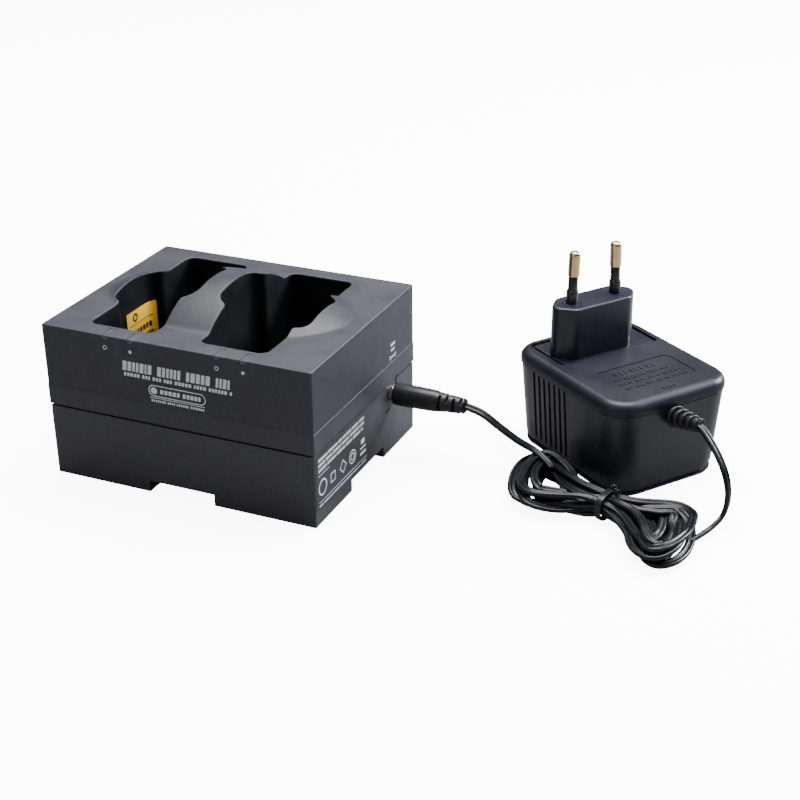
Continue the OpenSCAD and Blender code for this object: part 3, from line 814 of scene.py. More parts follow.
def build_cover():
    edge = 0.38  # radius along the outer edges
    band_z = 34.3  # top of the lower band
    half_x, half_y = HALF_X - FACE_INSET, HALF_Y - FACE_INSET
    deck_x, deck_y = half_x - edge, half_y - edge
    bays = [bay_path(x) for x in BAYS]
    parts = MeshParts()

    def add_sheet(outline, bay_offset, grid, margin, drop):
        xy, triangles = fill(outline, [offset(p, bay_offset) for p in bays], grid, margin)
        parts.sheet(xy, triangles, top_z(xy[:, 0], xy[:, 1]) - drop)

    deck = divided_rect(deck_x, deck_y)
    add_sheet(deck, BAY_EDGE, crown_grid(-48, 46, -29, 31, 0.95), 0.55, 0.0)
    last = parts.ring(deck, DECK)
    for k in range(1, 6):
        t = math.radians(90 * k / 5)
        grow = edge * math.sin(t)
        xy = divided_rect(deck_x + grow, deck_y + grow)
        last = parts.extend(last, xy, DECK - edge + edge * math.cos(t))
    # upper side, small step, lower band and rim
    for inset, z in ((FACE_INSET, band_z + 0.14), (0.04, band_z + 0.03), (0, band_z - 0.05),
                     (0, COVER_Z0 + 0.25), (0.07, COVER_Z0 + 0.07), (0.25, COVER_Z0)):
        last = parts.extend(last, divided_rect(HALF_X - inset, HALF_Y - inset), z)
    inner = divided_rect(HALF_X - WALL, HALF_Y - WALL, 0.6)
    last = parts.extend(last, inner, COVER_Z0)
    parts.extend(last, inner, DECK - ROOF)
    add_sheet(inner, TUB_WALL, crown_grid(-46, 44, -28, 30, 2.2), 0.8, ROOF)
    for centre_x, path in zip(BAYS, bays):
        add_bay(parts, centre_x, path)
    # the second material darkens the insides of the bays, painted shade
    cover = make("cover_shell", parts.verts, parts.faces, mats=(COVER, WELL_SHADE), face_mats=parts.mats)
    cut(cover, *cover_cutters())
    shade(cover)
    weigh(cover)
    attach(cover, "station", "top_cover")


# ------------------------------------------------------------------ pieces shaped by a CAD node
def from_cad(node_name, name, material, width=0.0, segments=0, sharp=SHARP):
    """Copy of a station node's shape, its flat faces joined up, and its edges rounded if
    width is given."""
    bm = bmesh.new()
    bm.from_mesh(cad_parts[node_name].data)
    bmesh.ops.remove_doubles(bm, verts=bm.verts, dist=1e-6)
    bmesh.ops.dissolve_limit(bm, angle_limit=math.radians(0.4), verts=bm.verts, edges=bm.edges)
    bmesh.ops.recalc_face_normals(bm, faces=bm.faces)
    mesh = bpy.data.meshes.new(name)
    bm.to_mesh(mesh)
    bm.free()
    for layer in list(mesh.attributes):
        if layer.name == "custom_normal":
            mesh.attributes.remove(layer)
    mesh.materials.append(material)
    for polygon in mesh.polygons:
        polygon.material_index = 0
    obj = link(name, mesh)
    if width:
        bevel(obj, width, segments)
    else:
        shade(obj, sharp)
    attach(obj, "station", node_name)
    return obj


def build_springs():
    """A copy of each spring node, with a mesh of its own."""
    for place in PLACES:
        spring = from_cad("spring_" + place, "coil_spring_" + place, SPRING,
                          sharp=60)
        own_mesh(spring)


# ------------------------------------------------------------------ print and labels
class Print(MeshParts):
    """Marks as thin closed plates. place maps (across, up, height) to millimetres, and the
    plates reach from height bottom to height top."""

    def __init__(self, place, bottom, top, random=None):
        super().__init__()
        self.place, self.bottom, self.top, self.random = place, bottom, top, random

    def raised(self, outline, height):
        return [self.place(u, v, height) for u, v in outline]

    def slab(self, outline):
        verts, faces = skin([self.raised(outline, h) for h in (self.bottom, self.top)])
        self.add(verts, faces[-2:] + faces[:-2])

    def hollow(self, outer, inner):
        """Flat frame between two outlines."""
        self.add(*skin([self.raised(outer, self.bottom), self.raised(outer, self.top),
                        self.raised(inner, self.top), self.raised(inner, self.bottom)],
                       caps=False, looped=True))

    def polygon_ring(self, u, v, radius, width, count=28, start=0.0):
        self.hollow(circle(radius, count, u, v, start), circle(radius - width, count, u, v, start))

    def disc(self, u, v, radius, count):
        self.slab(circle(radius, count, u, v))

    def bar(self, u0, u1, v0, v1, radius, slant=0.0):
        radius = min(radius, (u1 - u0) * 0.45, (v1 - v0) * 0.45)
        outline = rounded_rect((u1 - u0) / 2, (v1 - v0) / 2, radius, 3, (u0 + u1) / 2, (v0 + v1) / 2)
        self.slab([(u + slant * (v - v0), v) for u, v in outline])

    def dashes(self, u0, u1, v0, v1, radius, widths, gap, slant=0.0):
        """Dashes in groups, in place of a line of print. widths is the range of their width
        and gap the space between them, both as parts of the row's height."""
        height = v1 - v0
        u = u0
        left = self.random.integers(3, 8)
        while u < u1 - 0.3 * height:
            width = min(height * self.random.uniform(*widths), u1 - u)
            self.bar(u, u + width, v0, v1, radius, slant)
            u += width + height * gap
            left -= 1
            if left <= 0:
                u += height * 0.5
                left = self.random.integers(3, 8)

    def curved_bar(self, u0, u1, v0, v1):
        """Closed plate that follows a curved place."""
        n = max(1, int(math.ceil((u1 - u0) / 0.45)))
        rings = []
        for i in range(n + 1):
            u = u0 + (u1 - u0) * i / n
            rings.append([self.place(u, v0, self.bottom), self.place(u, v1, self.bottom),
                          self.place(u, v1, self.top), self.place(u, v0, self.top)])
        self.add(*skin(rings))

    def finish(self, name, material, slot, stands_for=None, body="station", matrix=DOCK_M):
        obj = make(name, self.verts, self.faces, matrix, merge=0, sharp=30, mats=(material,))
        attach(obj, body, stands_for)
        return obj


SUNK, PROUD = -0.02, 0.025  # print on the cover, from below to above its face


def on_front(u, v, height):
    return (u, -HALF_Y + FACE_INSET - height, v)


def on_side(u, v, height):
    return (HALF_X - FACE_INSET + height, u, v)


def build_front_print(random):
    marks = Print(on_front, SUNK, PROUD, random)
    marks.dashes(-19.6, 21.9, 45.2, 48.7, slant=0.12, radius=0.15, widths=(0.2, 0.46), gap=0.13)
    marks.dashes(-19.2, 22.2, 43.25, 44.55, slant=0.12, radius=0.15, widths=(0.55, 0.85), gap=0.25)
    # badge: a rounded frame with a disc and dashes
    badge_u, badge_v, line = 0.9, 39.6, 0.35
    marks.hollow(rounded_rect(10.9, 2.1, 2.0, 8, badge_u, badge_v),
                 rounded_rect(10.9 - line, 2.1 - line, 2.0 - line, 8, badge_u, badge_v))
    marks.disc(-7.9, badge_v, radius=1.25, count=24)
    marks.dashes(-5.6, 9.8, 38.8, 40.4, slant=0.1, radius=0.2, widths=(0.6, 0.9), gap=0.22)
    marks.bar(-9.6, 11.4, 36.85, 37.1, radius=0.1)
    marks.dashes(-9.2, 11.2, 35.5, 36.35, slant=0.1, radius=0.1, widths=(0.5, 0.8), gap=0.28)
    # one mark under each light pipe: a ring for charging, a disc for charged
    for i, x in enumerate(PIPES):
        if i % 2:
            marks.disc(x, 52.2, radius=0.62, count=20)
        else:
            marks.polygon_ring(x, 52.2, radius=0.8, width=0.27)
    marks.finish("front_print", PRINT, "cover_plastic")


def build_socket_marks(random):
    """Ring, dot and ring on the right side above the socket, and two short rows."""
    marks = Print(on_side, SUNK, PROUD, random)
    y, z = JACK_Y + 1.0, 36.3
    for shift in (-2.0, 2.0):
        marks.polygon_ring(y + shift, z, radius=0.75, width=0.25)
    marks.disc(y, z, radius=0.5, count=16)
    for start, end in ((-1.15, -0.6), (0.6, 1.15)):
        marks.bar(y + start, y + end, 36.2, 36.4, radius=0.05)
    for start, end, z0, z1 in ((-1.3, 1.5, 38.4, 39.4), (-1.6, 1.8, 40.4, 41.5)):
        marks.dashes(y + start, y + end, z0, z1, radius=0.12, widths=(0.5, 0.7), gap=0.25)
    marks.finish("socket_marks", PRINT, "cover_plastic")


def build_side_label(random):
    """Dark label low on the right side."""
    (x0, y0, z0), (x1, y1, z1) = station_box("side_label")

    def on_label(u, v, height):
        return (x0 + height, u, v)

    thickness = x1 - x0
    base = Print(on_label, 0.0, thickness)
    base.slab(rounded_rect((y1 - y0) / 2, (z1 - z0) / 2, 0.9, 6, (y0 + y1) / 2, (z0 + z1) / 2))
    base.finish("side_label_film", LABEL, "label_dark", "side_label")

    marks = Print(on_label, thickness - 0.01, thickness + 0.02, random)
    for z, end in ((23.6, -3.2), (21.7, -3.6), (19.8, -4.4)):
        marks.dashes(y0 + 2.2, y1 + end, z - 0.55, z + 0.55, slant=0.1, radius=0.12,
                     widths=(0.45, 0.75), gap=0.28)
    marks.bar(y0 + 2.0, y0 + 10.0, 17.85, 18.05, radius=0.05)
    marks.bar(y0 + 2.0, y1 - 2.2, 8.05, 8.25, radius=0.05)
    marks.dashes(y0 + 2.2, y1 - 2.4, 6.4, 7.1, slant=0.1, radius=0.08, widths=(0.5, 0.8), gap=0.3)
    # a row of plain shapes: rings, then a square and a diamond, then bars
    row_z = 13.0
    for shift, radius, width in ((5.0, 3.0, 0.55), (27.6, 2.6, 0.4), (27.6, 1.5, 0.35)):
        marks.polygon_ring(y0 + shift, row_z, radius, width)
    for shift, radius, turn in ((12.6, 2.5, math.pi / 4), (20.2, 2.6, 0.0)):
        marks.polygon_ring(y0 + shift, row_z, radius, width=0.5, count=4, start=turn)
    for start, end, low, high, radius in (
            (33.6, 38.0, 10.2, 11.2, 0.1), (33.6, 38.0, 12.4, 13.0, 0.1),
            (34.4, 37.2, 14.2, 16.0, 0.3)):
        marks.bar(y0 + start, y0 + end, low, high, radius)
    marks.finish("side_label_print", PRINT, "label_dark")


def build_bay_label(random):
    """Yellow label wrapped round the left wall of the left bay."""
    wall = [p for p in bay_path(BAYS[0]) if p[0] < BAYS[0] - 8 and -5.6 <= p[1] <= 12.6]
    wall = np.array(sorted(wall, key=lambda p: p[1]))
    steps = np.linalg.norm(np.diff(wall[:, :2], axis=0), axis=1)
    along = np.concatenate([[0], np.cumsum(steps)])
    length = along[-1]

    def on_wall(u, v, height):
        x, y, nx, ny = (np.interp(u, along, wall[:, i]) for i in range(4))
        size = math.hypot(nx, ny)
        return (x - nx / size * height, y - ny / size * height, v)

    base = Print(on_wall, 0.02, 0.14)
    base.curved_bar(0, length, 28.0, 47.0)
    base.finish("bay_label_film", YELLOW, "label_yellow", "bay_label")

    marks = Print(on_wall, 0.12, 0.17)
    marks.curved_bar(length * 0.08, length * 0.92, 41.6, 41.9)
    # rows of dashes: middle height, row height, end as a part of the label's length
    for z, height, part in ((38.6, 2.0, 0.86), (35.6, 1.1, 0.9), (33.4, 1.1, 0.8), (31.2, 1.1, 0.7)):
        u, end = length * 0.1, length * part
        while u < end:
            width = height * random.uniform(0.5, 0.85)
            marks.curved_bar(u, min(u + width, end), z - height / 2, z + height / 2)
            u += width + height * 0.28
    # a ring of small squares
    for u, v in circle(1.25, 9, length * 0.3, 44.3):
        marks.curved_bar(u - 0.42, u + 0.42, v - 0.42, v + 0.42)
    marks.finish("bay_label_print", INK, "label_yellow")


# ------------------------------------------------------------------ low-voltage plug
def build_grip():
    x0, x1 = GRIP_X0, GRIP_X1
    bore_end = x0 + 5.98
    profile = [  # (radius, x)
        (2.02, bore_end), (2.02, x0), (3.5, x0), (3.98, x0 + 0.6), (4.08, x0 + 5), (4.0, x0 + 10),
        (3.86, x0 + 15.6), (3.62, x0 + 16.5), (3.5, x0 + 16.9), (2.75, x1 - 0.4), (2.4, x1),
        (0.0, x1)]
    profile = [(0.0, bore_end)] + round_corners(profile, 0.45, 4)
    grip = make("plug_grip_body", *revolve(profile, 72, "X"), JACK_M, mats=(GRIP,))
    # pairs of notches, turned a quarter from one place to the next
    cutters = []
    whole = (-5, 5)
    for i, x in enumerate((69.4, 72.0, 74.6, 77.1)):
        for side in ((-5, -1.15), (1.15, 5)):
            y_range, z_range = (whole, side) if i % 2 else (side, whole)
            cutters.append(box_cutter((x, x + 1.0), y_range, z_range, JACK_M))
    cut(grip, *cutters)
    bevel(grip, 0.22, 3, angle=40)
    tidy(grip)
    attach(grip, "dc_plug", "plug_grip")


def build_barrel():
    x0, x1 = BARREL_X0, GRIP_X0
    profile = [  # (radius, x)
        (0.0, x0 + 10.4), (1.83, x0 + 10.4), (1.83, x0 + 0.25), (2.05, x0), (2.5, x0),
        (2.74, x0 + 0.3), (2.74, x1 - 0.75), (3.28, x1 - 0.75), (3.28, x1 - 0.03),
        (1.97, x1 - 0.03), (1.97, x1 + 5.7), (0.0, x1 + 5.7)]
    barrel = make("plug_barrel_shell", *revolve(round_corners(profile, 0.10, 3), axis="X"),
                  JACK_M, mats=(BARREL,))
    attach(barrel, "dc_plug", "plug_barrel")


# ------------------------------------------------------------------ supply
CORNER_STEPS = 14


def case_ring(z, inset=0.0):
    up = 1 - z / LID_TOP
    return at_height(rounded_rect(
        SUPPLY_HALF_X - FOOT_INSET_X * up - inset, SUPPLY_HALF_Y - FOOT_INSET_Y * up - inset,
        SUPPLY_RADIUS - inset, CORNER_STEPS), z)


def case_grooves():
    """Seven upright grooves in the -x side of the case, leaning with its taper."""
    n = 10
    section = [(-1.0, 0.68), (0.25, 0.62)]
    for k in range(n + 1):
        t = math.pi * k / n
        section.append((0.35 + 0.5 * math.sin(t), 0.58 * math.cos(t)))
    section += [(0.25, -0.62), (-1.0, -0.68)]
    rings = []
    for z, scale in ((-13.2, 0.35), (-12.9, 0.8), (-12.3, 1.0), (12.3, 1.0), (12.9, 0.8), (13.2, 0.35)):
        rings.append([(x if x < 0 else x * scale, y * (0.6 + 0.4 * scale), z) for x, y in section])
    tilt = math.atan(FOOT_INSET_X / LID_TOP)
    return [cutter(rings, SUPPLY_M @ Matrix.Translation((-SUPPLY_HALF_X, -1.25 + i * 3.0, 0))
                   @ Matrix.Rotation(-tilt, 4, "Y") @ Matrix.Translation((FOOT_INSET_X, 0, 17.2)))
            for i in range(7)]


def build_case():
    edge = 1.3  # radius round the underside
    rings = []
    for k in range(6):
        t = math.radians(90 * k / 5)
        rings.append(case_ring(edge * (1 - math.sin(t)), edge * (1 - math.cos(t))))
    rings += [case_ring(z) for z in (4, 9, 15, 21, 26.5, PART_Z - 0.22)]
    rings += [case_ring(PART_Z - 0.06, 0.05), case_ring(PART_Z, 0.22)]
    rings += [case_ring(z, WALL) for z in (PART_Z, 15, WALL)]
    case = make("supply_case_shell", *skin(rings), SUPPLY_M, mats=(CASE,))
    cut(case, *case_grooves(), cylinder_cutter(2.27, 40, -8, 8, BOOT_M))
    bevel(case, 0.22, 2, angle=42)
    attach(case, "power_supply", "supply_case")


def plate_ring(grow_x, grow_y, radius, z, shift_y=0.0):
    """Outline of the plate under the plug, grown by the given amounts."""
    return at_height(rounded_rect(PLATE_HALF_X + grow_x, PLATE_HALF_Y + grow_y, radius, 6,
                                  PLATE_X, PLATE_Y + shift_y), z)


def panel_groove():
    """Shallow groove along two sides of a panel in the lid, with a round corner."""
    corner, depth = 2.6, 0.32
    points = [(-14.2, -4.8), (13.4, -4.8)]
    for t in np.linspace(0, math.pi / 2, 9)[1:]:
        points.append((13.4 + corner * math.sin(t), -7.4 + corner * math.cos(t)))
    points = np.array(points + [(16.0, -20.4)])
    rings = []
    for point, (dx, dy) in zip(points, directions(points)):
        normal = np.array((-dy, dx))
        rings.append([(*(point + normal * shift), LID_TOP + height) for shift, height in (
            (0.24, -depth), (-0.24, -depth), (-0.3, 1), (0.3, 1))])
    return cutter(rings, SUPPLY_M)


def build_lid():
    shoulder_z = 32.8
    round_r = LID_TOP - shoulder_z

    def ring(z, inset, radius):
        return at_height(rounded_rect(SUPPLY_HALF_X - inset, SUPPLY_HALF_Y - inset, radius,
                                      CORNER_STEPS), z)

    inner = rounded_rect(SUPPLY_HALF_X - 2.4, SUPPLY_HALF_Y - 2.3, 7.7, CORNER_STEPS)
    rings = [at_height(inner, LID_TOP - 2.2), at_height(inner, LID_Z0)]
    rings += [ring(LID_Z0, 0.35, 9.5), ring(LID_Z0 + 0.12, 0.16, 9.7),
              ring(LID_Z0 + 0.5, 0.05, 9.8), ring(shoulder_z, 0, 9.8)]
    for k in range(1, 11):
        t = math.radians(90 * k / 10)
        inset = round_r * (1 - math.cos(t))
        rings.append(ring(shoulder_z + round_r * math.sin(t), inset, 9.8 - inset))
    lid = make("supply_lid_shell", *skin(rings), SUPPLY_M, mats=(LID,))
    opening = [plate_ring(0.42, 0.42, 1.4, z) for z in (LID_TOP - 5, LID_TOP + 3)]
    # wider near the top round the +y end and the x sides of the plate
    gap = [plate_ring(1.25, 0.8, 1.9, z, shift_y=0.55) for z in (LID_TOP - 1.15, LID_TOP + 2)]
    cut(lid, cutter(opening, SUPPLY_M), cutter(gap, SUPPLY_M), panel_groove())
    bevel(lid, 0.14, 2, angle=42)
    attach(lid, "power_supply", "supply_lid")


def build_lid_bars():
    """Raised dashes on the lid, in place of moulded lettering."""
    bars = Print(lambda u, v, height: (u, v, LID_TOP + height), -0.08, 0.28,
                 np.random.default_rng(11))
    rows = (  # x0, x1, middle y, height of the row
        (-9.8, 8.6, -8.9, 2.3), (-13.0, 10.2, -13.0, 1.45), (-13.4, 13.4, -16.4, 1.45),
        (-13.4, 13.2, -19.8, 1.45), (-2.4, 4.8, -25.6, 1.7))
    for x0, x1, y, height in rows:
        bars.dashes(x0, x1, y - height / 2, y + height / 2, radius=0.22, widths=(0.45, 0.72),
                    gap=0.26)
    obj = bars.finish("lid_raised_bars", LID, "supply_plastic", body="power_supply",
                      matrix=SUPPLY_M)
    bevel(obj, 0.05, 1, angle=40)


PLUG_OUTLINE = (  # (x, y) about the middle of the plug
    (-16.9, -1.6), (-11.8, -6.7), (11.8, -6.7), (16.9, -1.6),
    (16.9, 1.6), (11.8, 6.7), (-11.8, 6.7), (-16.9, 1.6))


def plug_ring(grow, z):
    outline = [(x * (1 + grow / 17.0), y * (1 + grow / 6.8)) for x, y in PLUG_OUTLINE]
    rounded = round_corners(outline, 1.5, 6, closed=True)
    return [(PLUG_X + x, PLUG_Y + y, z) for x, y in rounded]


def build_plug():
    z0 = LID_TOP - 0.14
    edge = 0.85  # radius round the top
    rings = [plug_ring(-0.05, z0 - 0.9), plug_ring(-0.02, z0 + 0.3), plug_ring(-0.06, z0 + 6),
             plug_ring(-0.12, z0 + 13)]
    for k in range(7):
        t = math.radians(90 * k / 6)
        rings.append(plug_ring(-0.18 - edge * (1 - math.cos(t)), PLUG_TOP - edge + edge * math.sin(t)))
    plug = make("plug_body", *skin(rings), SUPPLY_M, mats=(PLUG,))
    plate = [plate_ring(-inset, -inset, 1.0, LID_TOP + z) for inset, z in (
        (0.1, -2.3), (0, -2.15), (0, -0.35), (0.08, -0.18), (0.28, -0.1))]
    flange = [plate_ring(0.8, 0.8, 1.0, LID_TOP + z) for z in (-3.1, -2.25)]
    cut(plug, cutter(plate, SUPPLY_M), cutter(flange, SUPPLY_M), operation="UNION")
    # a bore for each pin, and a ring-shaped groove round it
    groove = [(3.34, -0.28), (3.34, 2), (3.12, 2), (3.12, -0.28)]
    cutters = []
    for side in (-1, 1):
        pin_m = pin_matrix(side)
        cutters.append(cylinder_cutter(1.74, 48, -30, 3, pin_m))
        cutters.append(make("cutter", *revolve(groove, looped=True), pin_m))
    cut(plug, *cutters)
    # the cuts may change the slots, so all are set again
    for slot in plug.material_slots:
        slot.material = PLUG
    bevel(plug, 0.1, 2, angle=50)
    tidy(plug)
    attach(plug, "power_supply", "plug_insert")


PIN_PROFILE = [  # (radius, height)
    (0.0, -23.6), (1.2, -23.6), (1.48, -23.3), (1.48, 9.98), (1.9, 9.98), (2.0, 10.1), (2.0, 17.6)]
PIN_PROFILE += [(2.0 * math.cos(t) ** 0.8, 17.6 + 1.38 * math.sin(t))
                for t in np.linspace(0.15, math.pi / 2, 10)]
SLEEVE_PROFILE = [  # (radius, height), closed on itself
    (1.53, -2.9), (1.53, 9.9), (1.62, 9.93), (1.69, 9.8), (1.69, 5.2), (1.74, 4.9), (2.0, 4.6),
    (2.08, 4.4), (2.1, 0.3), (2.02, 0.14), (1.69, 0.12), (1.69, -2.9)]


def build_pins():
    for letter, side in (("a", -1), ("b", 1)):
        pin_m = pin_matrix(side)
        pin = make(f"mains_pin_{letter}_post", *revolve(PIN_PROFILE), pin_m, mats=(NICKEL,))
        attach(pin, "power_supply", "mains_pins")
        sleeve = make(f"pin_sleeve_{letter}", *revolve(SLEEVE_PROFILE, 56, looped=True), pin_m,
                      mats=(SLEEVE,))
        attach(sleeve, "power_supply", "pin_sleeves")


def build_boot():
    """Boot of the lead: a tapered core with five fins that shrink towards the lead."""
    profile = [(0.0, -4.9), (3.45, -4.9), (3.58, -4.75), (3.58, -3.15), (3.45, -3.0),
               (2.18, -3.0), (2.18, 1.1)]
    for i in range(5):
        z, fin, core = 1.1 + 2.8 * i, 4.0 - 0.32 * i, 2.3 - 0.1 * i
        profile += [(fin - 0.3, z), (fin, z + 0.3), (fin - 0.03, z + 1.1), (fin - 0.33, z + 1.4),
                    (core - 0.1, z + 1.4), (core - 0.12, z + 2.8)]
    end_z = profile.pop()[1] - 1.15
    profile += [(1.9, end_z), (0.0, end_z)]
    verts, faces = revolve(round_corners(profile, 0.2, 3))
    # slightly flattened across the lead
    verts = [(x, y * 0.96, z) for x, y, z in verts]
    boot = make("boot_body", verts, faces, BOOT_M, mats=(GRIP,))
    attach(boot, "power_supply", "strain_relief")


# ------------------------------------------------------------------ lead
CORE_R = 0.82  # radius of each of the two cores
CORE_SHIFT = 0.76  # from the middle of the lead to the middle of a core


def two_core():
    """Section of the lead: two round cores side by side with a groove between."""
    n = 14
    hidden = math.acos(CORE_SHIFT / CORE_R)
    points = []
    for side in (1, -1):
        for k in range(n):
            a = -math.pi + hidden + (2 * math.pi - 2 * hidden) * (k + 0.5) / n
            points.append((side * (CORE_SHIFT + CORE_R * math.cos(a)), side * CORE_R * math.sin(a)))
    return points


def smooth_curve(points, steps, closed=False):
    """Catmull-Rom curve through points."""
    p = np.array(points, float)
    if closed:
        padded = [p[-1], *p, p[0], p[1]]
    else:
        padded = [2 * p[0] - p[1], *p, 2 * p[-1] - p[-2]]
    curve = []
    for p0, p1, p2, p3 in zip(padded, padded[1:], padded[2:], padded[3:]):
        for k in range(steps):
            t = k / steps
            curve.append(0.5 * (2 * p1 + (p2 - p0) * t + (2 * p0 - 5 * p1 + 4 * p2 - p3) * t * t
                                + (3 * p1 - p0 - 3 * p2 + p3) * t**3))
    if not closed:
        curve.append(p[-1])
    return np.array(curve)


def carried_sides(path, side):
    """Side vectors that start from side and turn with the path without twisting."""
    side = np.array(side, float)
    sides = []
    for tangent in directions(path):
        side = side - tangent * (side @ tangent)
        side /= np.linalg.norm(side)
        sides.append(side)
    return sides


def strand(name, path, section, sides, rolls=0.0, material=CABLE):
    """Object made by carrying a section along an open path. sides gives the direction of its
    long axis and rolls turns it in radians; each is one value or one per point."""
    path = np.array(path, float)
    sides = np.broadcast_to(sides, path.shape)
    rolls = np.broadcast_to(rolls, (len(path),))
    rings = []
    for point, tangent, side, roll in zip(path, directions(path), sides, rolls):
        side = side - tangent * (side @ tangent)
        side = side / np.linalg.norm(side)
        normal = np.cross(tangent, side)
        across = side * math.cos(roll) + normal * math.sin(roll)
        up = normal * math.cos(roll) - side * math.sin(roll)
        rings.append([tuple(point + across * x + up * y) for x, y in section])
    return make(name, *skin(rings), merge=0, mats=(material,), sharp=50)


TURN = [  # (x, y) of one turn of the tied coil, starting and ending at the waist
    (136, 2.0), (127, 0.8), (117, -2.0), (109.5, -2.4), (104.0, 3.4), (101.8, 12), (102.2, 21),
    (106.0, 27.2), (112.0, 25.6), (118.6, 19.6), (125.6, 11.2), (136, 6.6), (146, 5.8),
    (153, 9.2), (159.2, 10.4), (164.0, 4.8), (165.9, -5.6), (164.8, -15.8), (160.0, -22.4),
    (154.2, -19.8), (149.0, -11.2), (144.0, -4.0)]
TURNS = 8
LANES = [  # (shift towards the inside, height) of each turn
    (0.0, 1.3), (3.3, 1.4), (0.2, 3.3), (5.6, 2.6), (-0.4, 5.2), (3.0, 5.6), (0.0, 7.4),
    (6.0, 5.0), (2.6, 7.6)]
WAIST_X = 136
TIE_CENTRE = np.array([136.0, 4.2, 5.0])
TIE_ANGLE = math.radians(-14.5)
TIE_ALONG = np.array([math.cos(TIE_ANGLE), math.sin(TIE_ANGLE), 0])  # along the bundle
TIE_ACROSS = np.array([-math.sin(TIE_ANGLE), math.cos(TIE_ANGLE), 0])


def loose_coil():
    """Path and roll of the coil before its strands push each other apart."""
    turn = smooth_curve(TURN, 8, closed=True)
    n = len(turn)
    tangents = np.roll(turn, -1, 0) - np.roll(turn, 1, 0)
    tangents /= np.linalg.norm(tangents, axis=1)[:, None]
    inward = np.stack([tangents[:, 1], -tangents[:, 0]], 1)  # the turn runs clockwise
    path, rolls = [], []
    for i in range(TURNS * n + 1):
        k, u = divmod(i, n)
        part = (1 - math.cos(math.pi * u / n)) / 2
        a, b = LANES[k % len(LANES)], LANES[(k + 1) % len(LANES)]
        shift, z = a[0] + (b[0] - a[0]) * part, a[1] + (b[1] - a[1]) * part
        phase = 2 * math.pi * u / n
        x = turn[u, 0]
        # waves that make the turns differ; sideways only away from the waist
        shift += 1.3 * math.sin(phase * 2 + 1.9 * k) * (abs(x - WAIST_X) > 14)
        z += 0.9 * math.sin(phase * 3 + 2.3 * k) + 0.6 * math.sin(phase + k)
        # looser in the right loop than in the left, and tight at the waist
        shift *= 1.45 if x > 142 else 1.15 if x < 128 else 0.8
        point = turn[u] + inward[u] * shift
        path.append((point[0], point[1], z))
        rolls.append(0.28 * math.sin(phase * 2 + 1.3 * k) + 0.12 * math.sin(phase * 5 + k))
    return np.array(path), np.array(rolls)


def settle(path):
    """Pushes strands apart and gathers them in the tie. Returns the path and how near the
    tie each point is, from 0 to 1."""
    push_rate, pull_back, smoothing = 0.22, 0.03, 0.35
    power = 3.0  # squareness of the opening in the tie
    # the lead is wider than tall, so heights count for more in the distances
    stretch = np.array([1, 1, (CORE_R + CORE_SHIFT) / CORE_R])
    clearance = 2 * (CORE_R + CORE_SHIFT) - 0.1
    index = np.arange(len(path))
    apart = np.abs(index[:, None] - index[None]) > 12
    rest = path.copy()
    for _ in range(90):
        q = path * stretch
        d = q[:, None] - q[None]
        r = np.linalg.norm(d, axis=2) + 1e-9
        push = np.where(apart & (r < clearance), (clearance - r) / r, 0.0)
        path += (d * push[:, :, None]).sum(1) / stretch * push_rate
        path += (rest - path) * pull_back
        path[1:-1] += ((path[:-2] + path[2:]) / 2 - path[1:-1]) * smoothing
        path[:, 2] = np.clip(path[:, 2], CORE_R + 0.25, 8.6)
        along = (path - TIE_CENTRE) @ TIE_ALONG
        across = (path - TIE_CENTRE) @ TIE_ACROSS
        near = np.clip(1 - (np.abs(along) - 2.0) / 9.0, 0, 1)
        # inside the tie the strands stay within its rounded opening
        above = path[:, 2] - TIE_CENTRE[2]
        load = ((np.abs(across) / (3.5 + (1 - near) * 30)) ** power
                + (np.abs(above) / (2.75 + (1 - near) * 8)) ** power)
        s = np.where(load > 1, np.maximum(load, 1e-9) ** (-1 / power), 1.0)
        path -= ((1 - s) * across)[:, None] * TIE_ACROSS
        path[:, 2] = np.maximum(TIE_CENTRE[2] + above * s, CORE_R + 0.25)
    return path, near


def build_coil():
    path, rolls = loose_coil()
    path, near = settle(path)
    rolls = rolls * (1 - near)
    floor_z = CORE_R + CORE_SHIFT * np.abs(np.sin(rolls)) + 0.06
    path[:, 2] = np.maximum(path[:, 2], floor_z)
    level = np.cross((0, 0, 1.0), directions(path))
    coil = strand("lead_coil", path, two_core(), level, rolls)
    attach(coil, "power_supply", "lead_hank")


def build_plug_lead():
    """From the low-voltage plug to the coil; it bends with the joint between them."""
    path = smooth_curve([
        (GRIP_X1 - 3.0, JACK_Y, JACK_Z), (GRIP_X1, JACK_Y, JACK_Z), (85.2, JACK_Y - 0.1, 20.9),
        (91.6, 20.8, 17.0), (97.8, 21.6, 12.8), (103.6, 22.6, 9.6), (108.5, 21.0, 7.6),
        (112.5, 17.5, 6.6)], 9)
    lead = strand("lead_to_plug", path, two_core(), carried_sides(path, (0, 1, 0)),
                  np.linspace(0.5, -0.2, len(path)))
    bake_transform(lead, "dc_plug", "power_supply",
             start=dock((79.3, JACK_Y, JACK_Z)), end=dock((99, 21.9, 12)))
    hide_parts("lead_front")


def build_supply_lead():
    """From the boot of the supply down to the floor and into the coil."""
    path = smooth_curve([
        *(to_station(BOOT_M @ Vector((0, 0, z))) for z in (8.0, 13.6)),
        (166.4, 19.1, 25.3), (170.6, 16.0, 20.3), (172.8, 14.6, 15.2), (173.4, 14.1, 9.7),
        (172.6, 12.6, 4.6), (170.6, 8.2, 2.4), (168.2, 2.0, 2.0), (165.6, -3.8, 2.0)], 9)
    lead = strand("lead_to_supply", path, two_core(), carried_sides(path, (0.6, 0.8, 0)),
                  np.linspace(0.0, -0.9, len(path)))
    attach(lead, "power_supply", "lead_rear")


